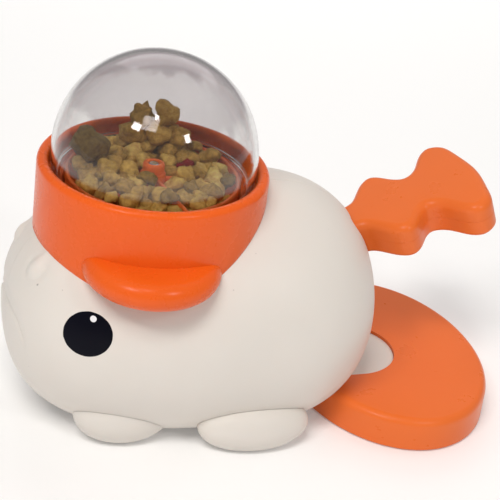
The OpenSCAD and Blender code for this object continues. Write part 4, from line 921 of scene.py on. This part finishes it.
def tail_inset(d):
    """The tail's outline at a distance inside its edge: the places that a disc of that radius can reach."""
    start, end = tail_line[0, 0], tail_line[-1, 0]
    s = start + d + (tail_line[:, 0] - start) * (1 - 2 * d / (end - start))
    turn = np.radians(np.arange(-90, 91, 5))
    reach = np.interp(s[:, None] + d * np.sin(turn), tail_line[:, 0], tail_line[:, 1]) - d * np.cos(turn)
    w = np.clip(reach.min(1), 0, None)
    return [(a, -b) for a, b in zip(s, w)] + [(a, b) for a, b in zip(s[-2::-1], w[-2::-1])]


upper_rows = [(4.8, tail_top - tail_wall), (tail_wall, tail_top - 4.8), (tail_wall, tail_seam + 0.03),
              (0.12, tail_seam + 0.03),
              (0, tail_seam + 0.12), (0, 1.0)] + rolled(5, tail_top, 1)
upper = layered("tail_top", [(tail_inset(d), h) for d, h in upper_rows], on_tail)
finish(polish(upper, 35), orange_tail, "tail", "orange_plastic", "tail_upper")
lower_rows = rolled(2.6, -tail_under, -1)[::-1] + [(0, tail_seam - 0.1), (0.12, tail_seam)]
lower = layered("tail_under", [(tail_inset(d), h) for d, h in lower_rows], on_tail)
well_r, well_top, well_sides = 3.2, -9.7, 32
screw_wells = []
for s in (38, 54):
    turns = np.linspace(0, 2 * math.pi, well_sides + 1)[:-1]
    points = [on_tail(s + well_r * math.cos(a), well_r * math.sin(a), h)
              for h in (-14, well_top) for a in turns]
    ends = [tuple(range(well_sides)), tuple(range(well_sides, 2 * well_sides))]
    screw_wells.append(tidy(form("well_tool", points, ends + bands(2, well_sides))))
carve(lower, *screw_wells)
for tool in screw_wells:
    bpy.data.objects.remove(tool)
finish(polish(lower, 35), orange_tail, "tail", "orange_plastic", "tail_lower")

# ---- Plate ----
# The orange treat plate behind the body: a broad half moon with a rolled top edge, hollow
# below, notched for the white tongue that it is screwed to.
plate_x, plate_len, plate_half, plate_top, plate_edge, plate_low = 153.5, 58.0, 80.0, 20.2, 4.5, 0.8
tongue_x, tongue_r = 130.0, 28.0
plate_outline = [(plate_x + plate_len * math.cos(a), plate_half * math.sin(a))
                 for a in np.linspace(0, 2 * math.pi, 241)[:-1]]
flat = np.array(plate_outline)
edge = np.roll(flat, -1, 0) - flat
edge = np.stack([-edge[:, 1], edge[:, 0]], 1) / np.linalg.norm(edge, axis=1)[:, None]
before = np.roll(edge, 1, 0)
inward = (edge + before) / (1 + (edge * before).sum(1))[:, None]
plate_rows = [(4.5, plate_top - 2.5), (2.5, plate_top - 4.5), (2.5, plate_low), (0.4, plate_low),
              (0, plate_low + 0.4)]
plate_rows += rolled(plate_edge, plate_top, 1)
plate = layered("treat_plate", [(flat + inward * d, h) for d, h in plate_rows], place)
notch_r = tongue_r + 0.3
notch = sorted([p for p in circle(tongue_x, 0, notch_r, 96) if p[0] >= tongue_x], key=lambda p: p[1])
notch_outline = [(90, -notch_r)] + notch + [(90, notch_r)]
carve(
    plate,
    egg_block(0.3),
    prism("notch_tool", notch_outline, 15.2, 30),
    prism("front_tool", [(60, -90), (97, -90), (97, 90), (60, 90)], -5, 30),
)
for tool in ("egg_tool", "notch_tool", "front_tool"):
    bpy.data.objects.remove(bpy.data.objects[tool])
finish(polish(plate, 38), orange_tail, "body", "orange_plastic", "foot_plate")

# ---- Pieces kept from the frame ----
# The works inside, the base with its tongue, the deck under the wheel and the rubber pads
# are as the frame has them, each in its own plastic, steel or rubber.
paint(white_plastic, "base_plate", "chute", "left_bracket", "right_bracket", "pull_rod", "pawl_carrier")
paint(orange_table, "hopper_bowl", "drive_pawl", "stop_pawl")
grey_acetal = plastic("grey_acetal", (0.19, 0.195, 0.205), 0.42, grain=0.05)
paint(grey_acetal, "upper_bush", "foot_bush", "ratchet_wheel", "tail_lever")
paint(plastic("grey_rubber", (0.075, 0.075, 0.08), 0.8, grain=0.3), "paw_pads", "plate_pads")
bright = plastic("bright_steel", (0.62, 0.63, 0.65), 0.25, grain=0.03, mottle=0.04)
bright.node_tree.nodes["Principled BSDF"].inputs["Metallic"].default_value = 1.0
paint(bright, "shaft", "tail_pin", "pin_clips", "return_spring", "drive_pawl_spring", "stop_pawl_spring",
      "hub_screw", "shell_screws", "base_screws", "paw_screws", "hat_screws", "bowl_screws", "ear_screws",
      "bracket_screws", "chute_screws", "plate_screws", "tail_screws")
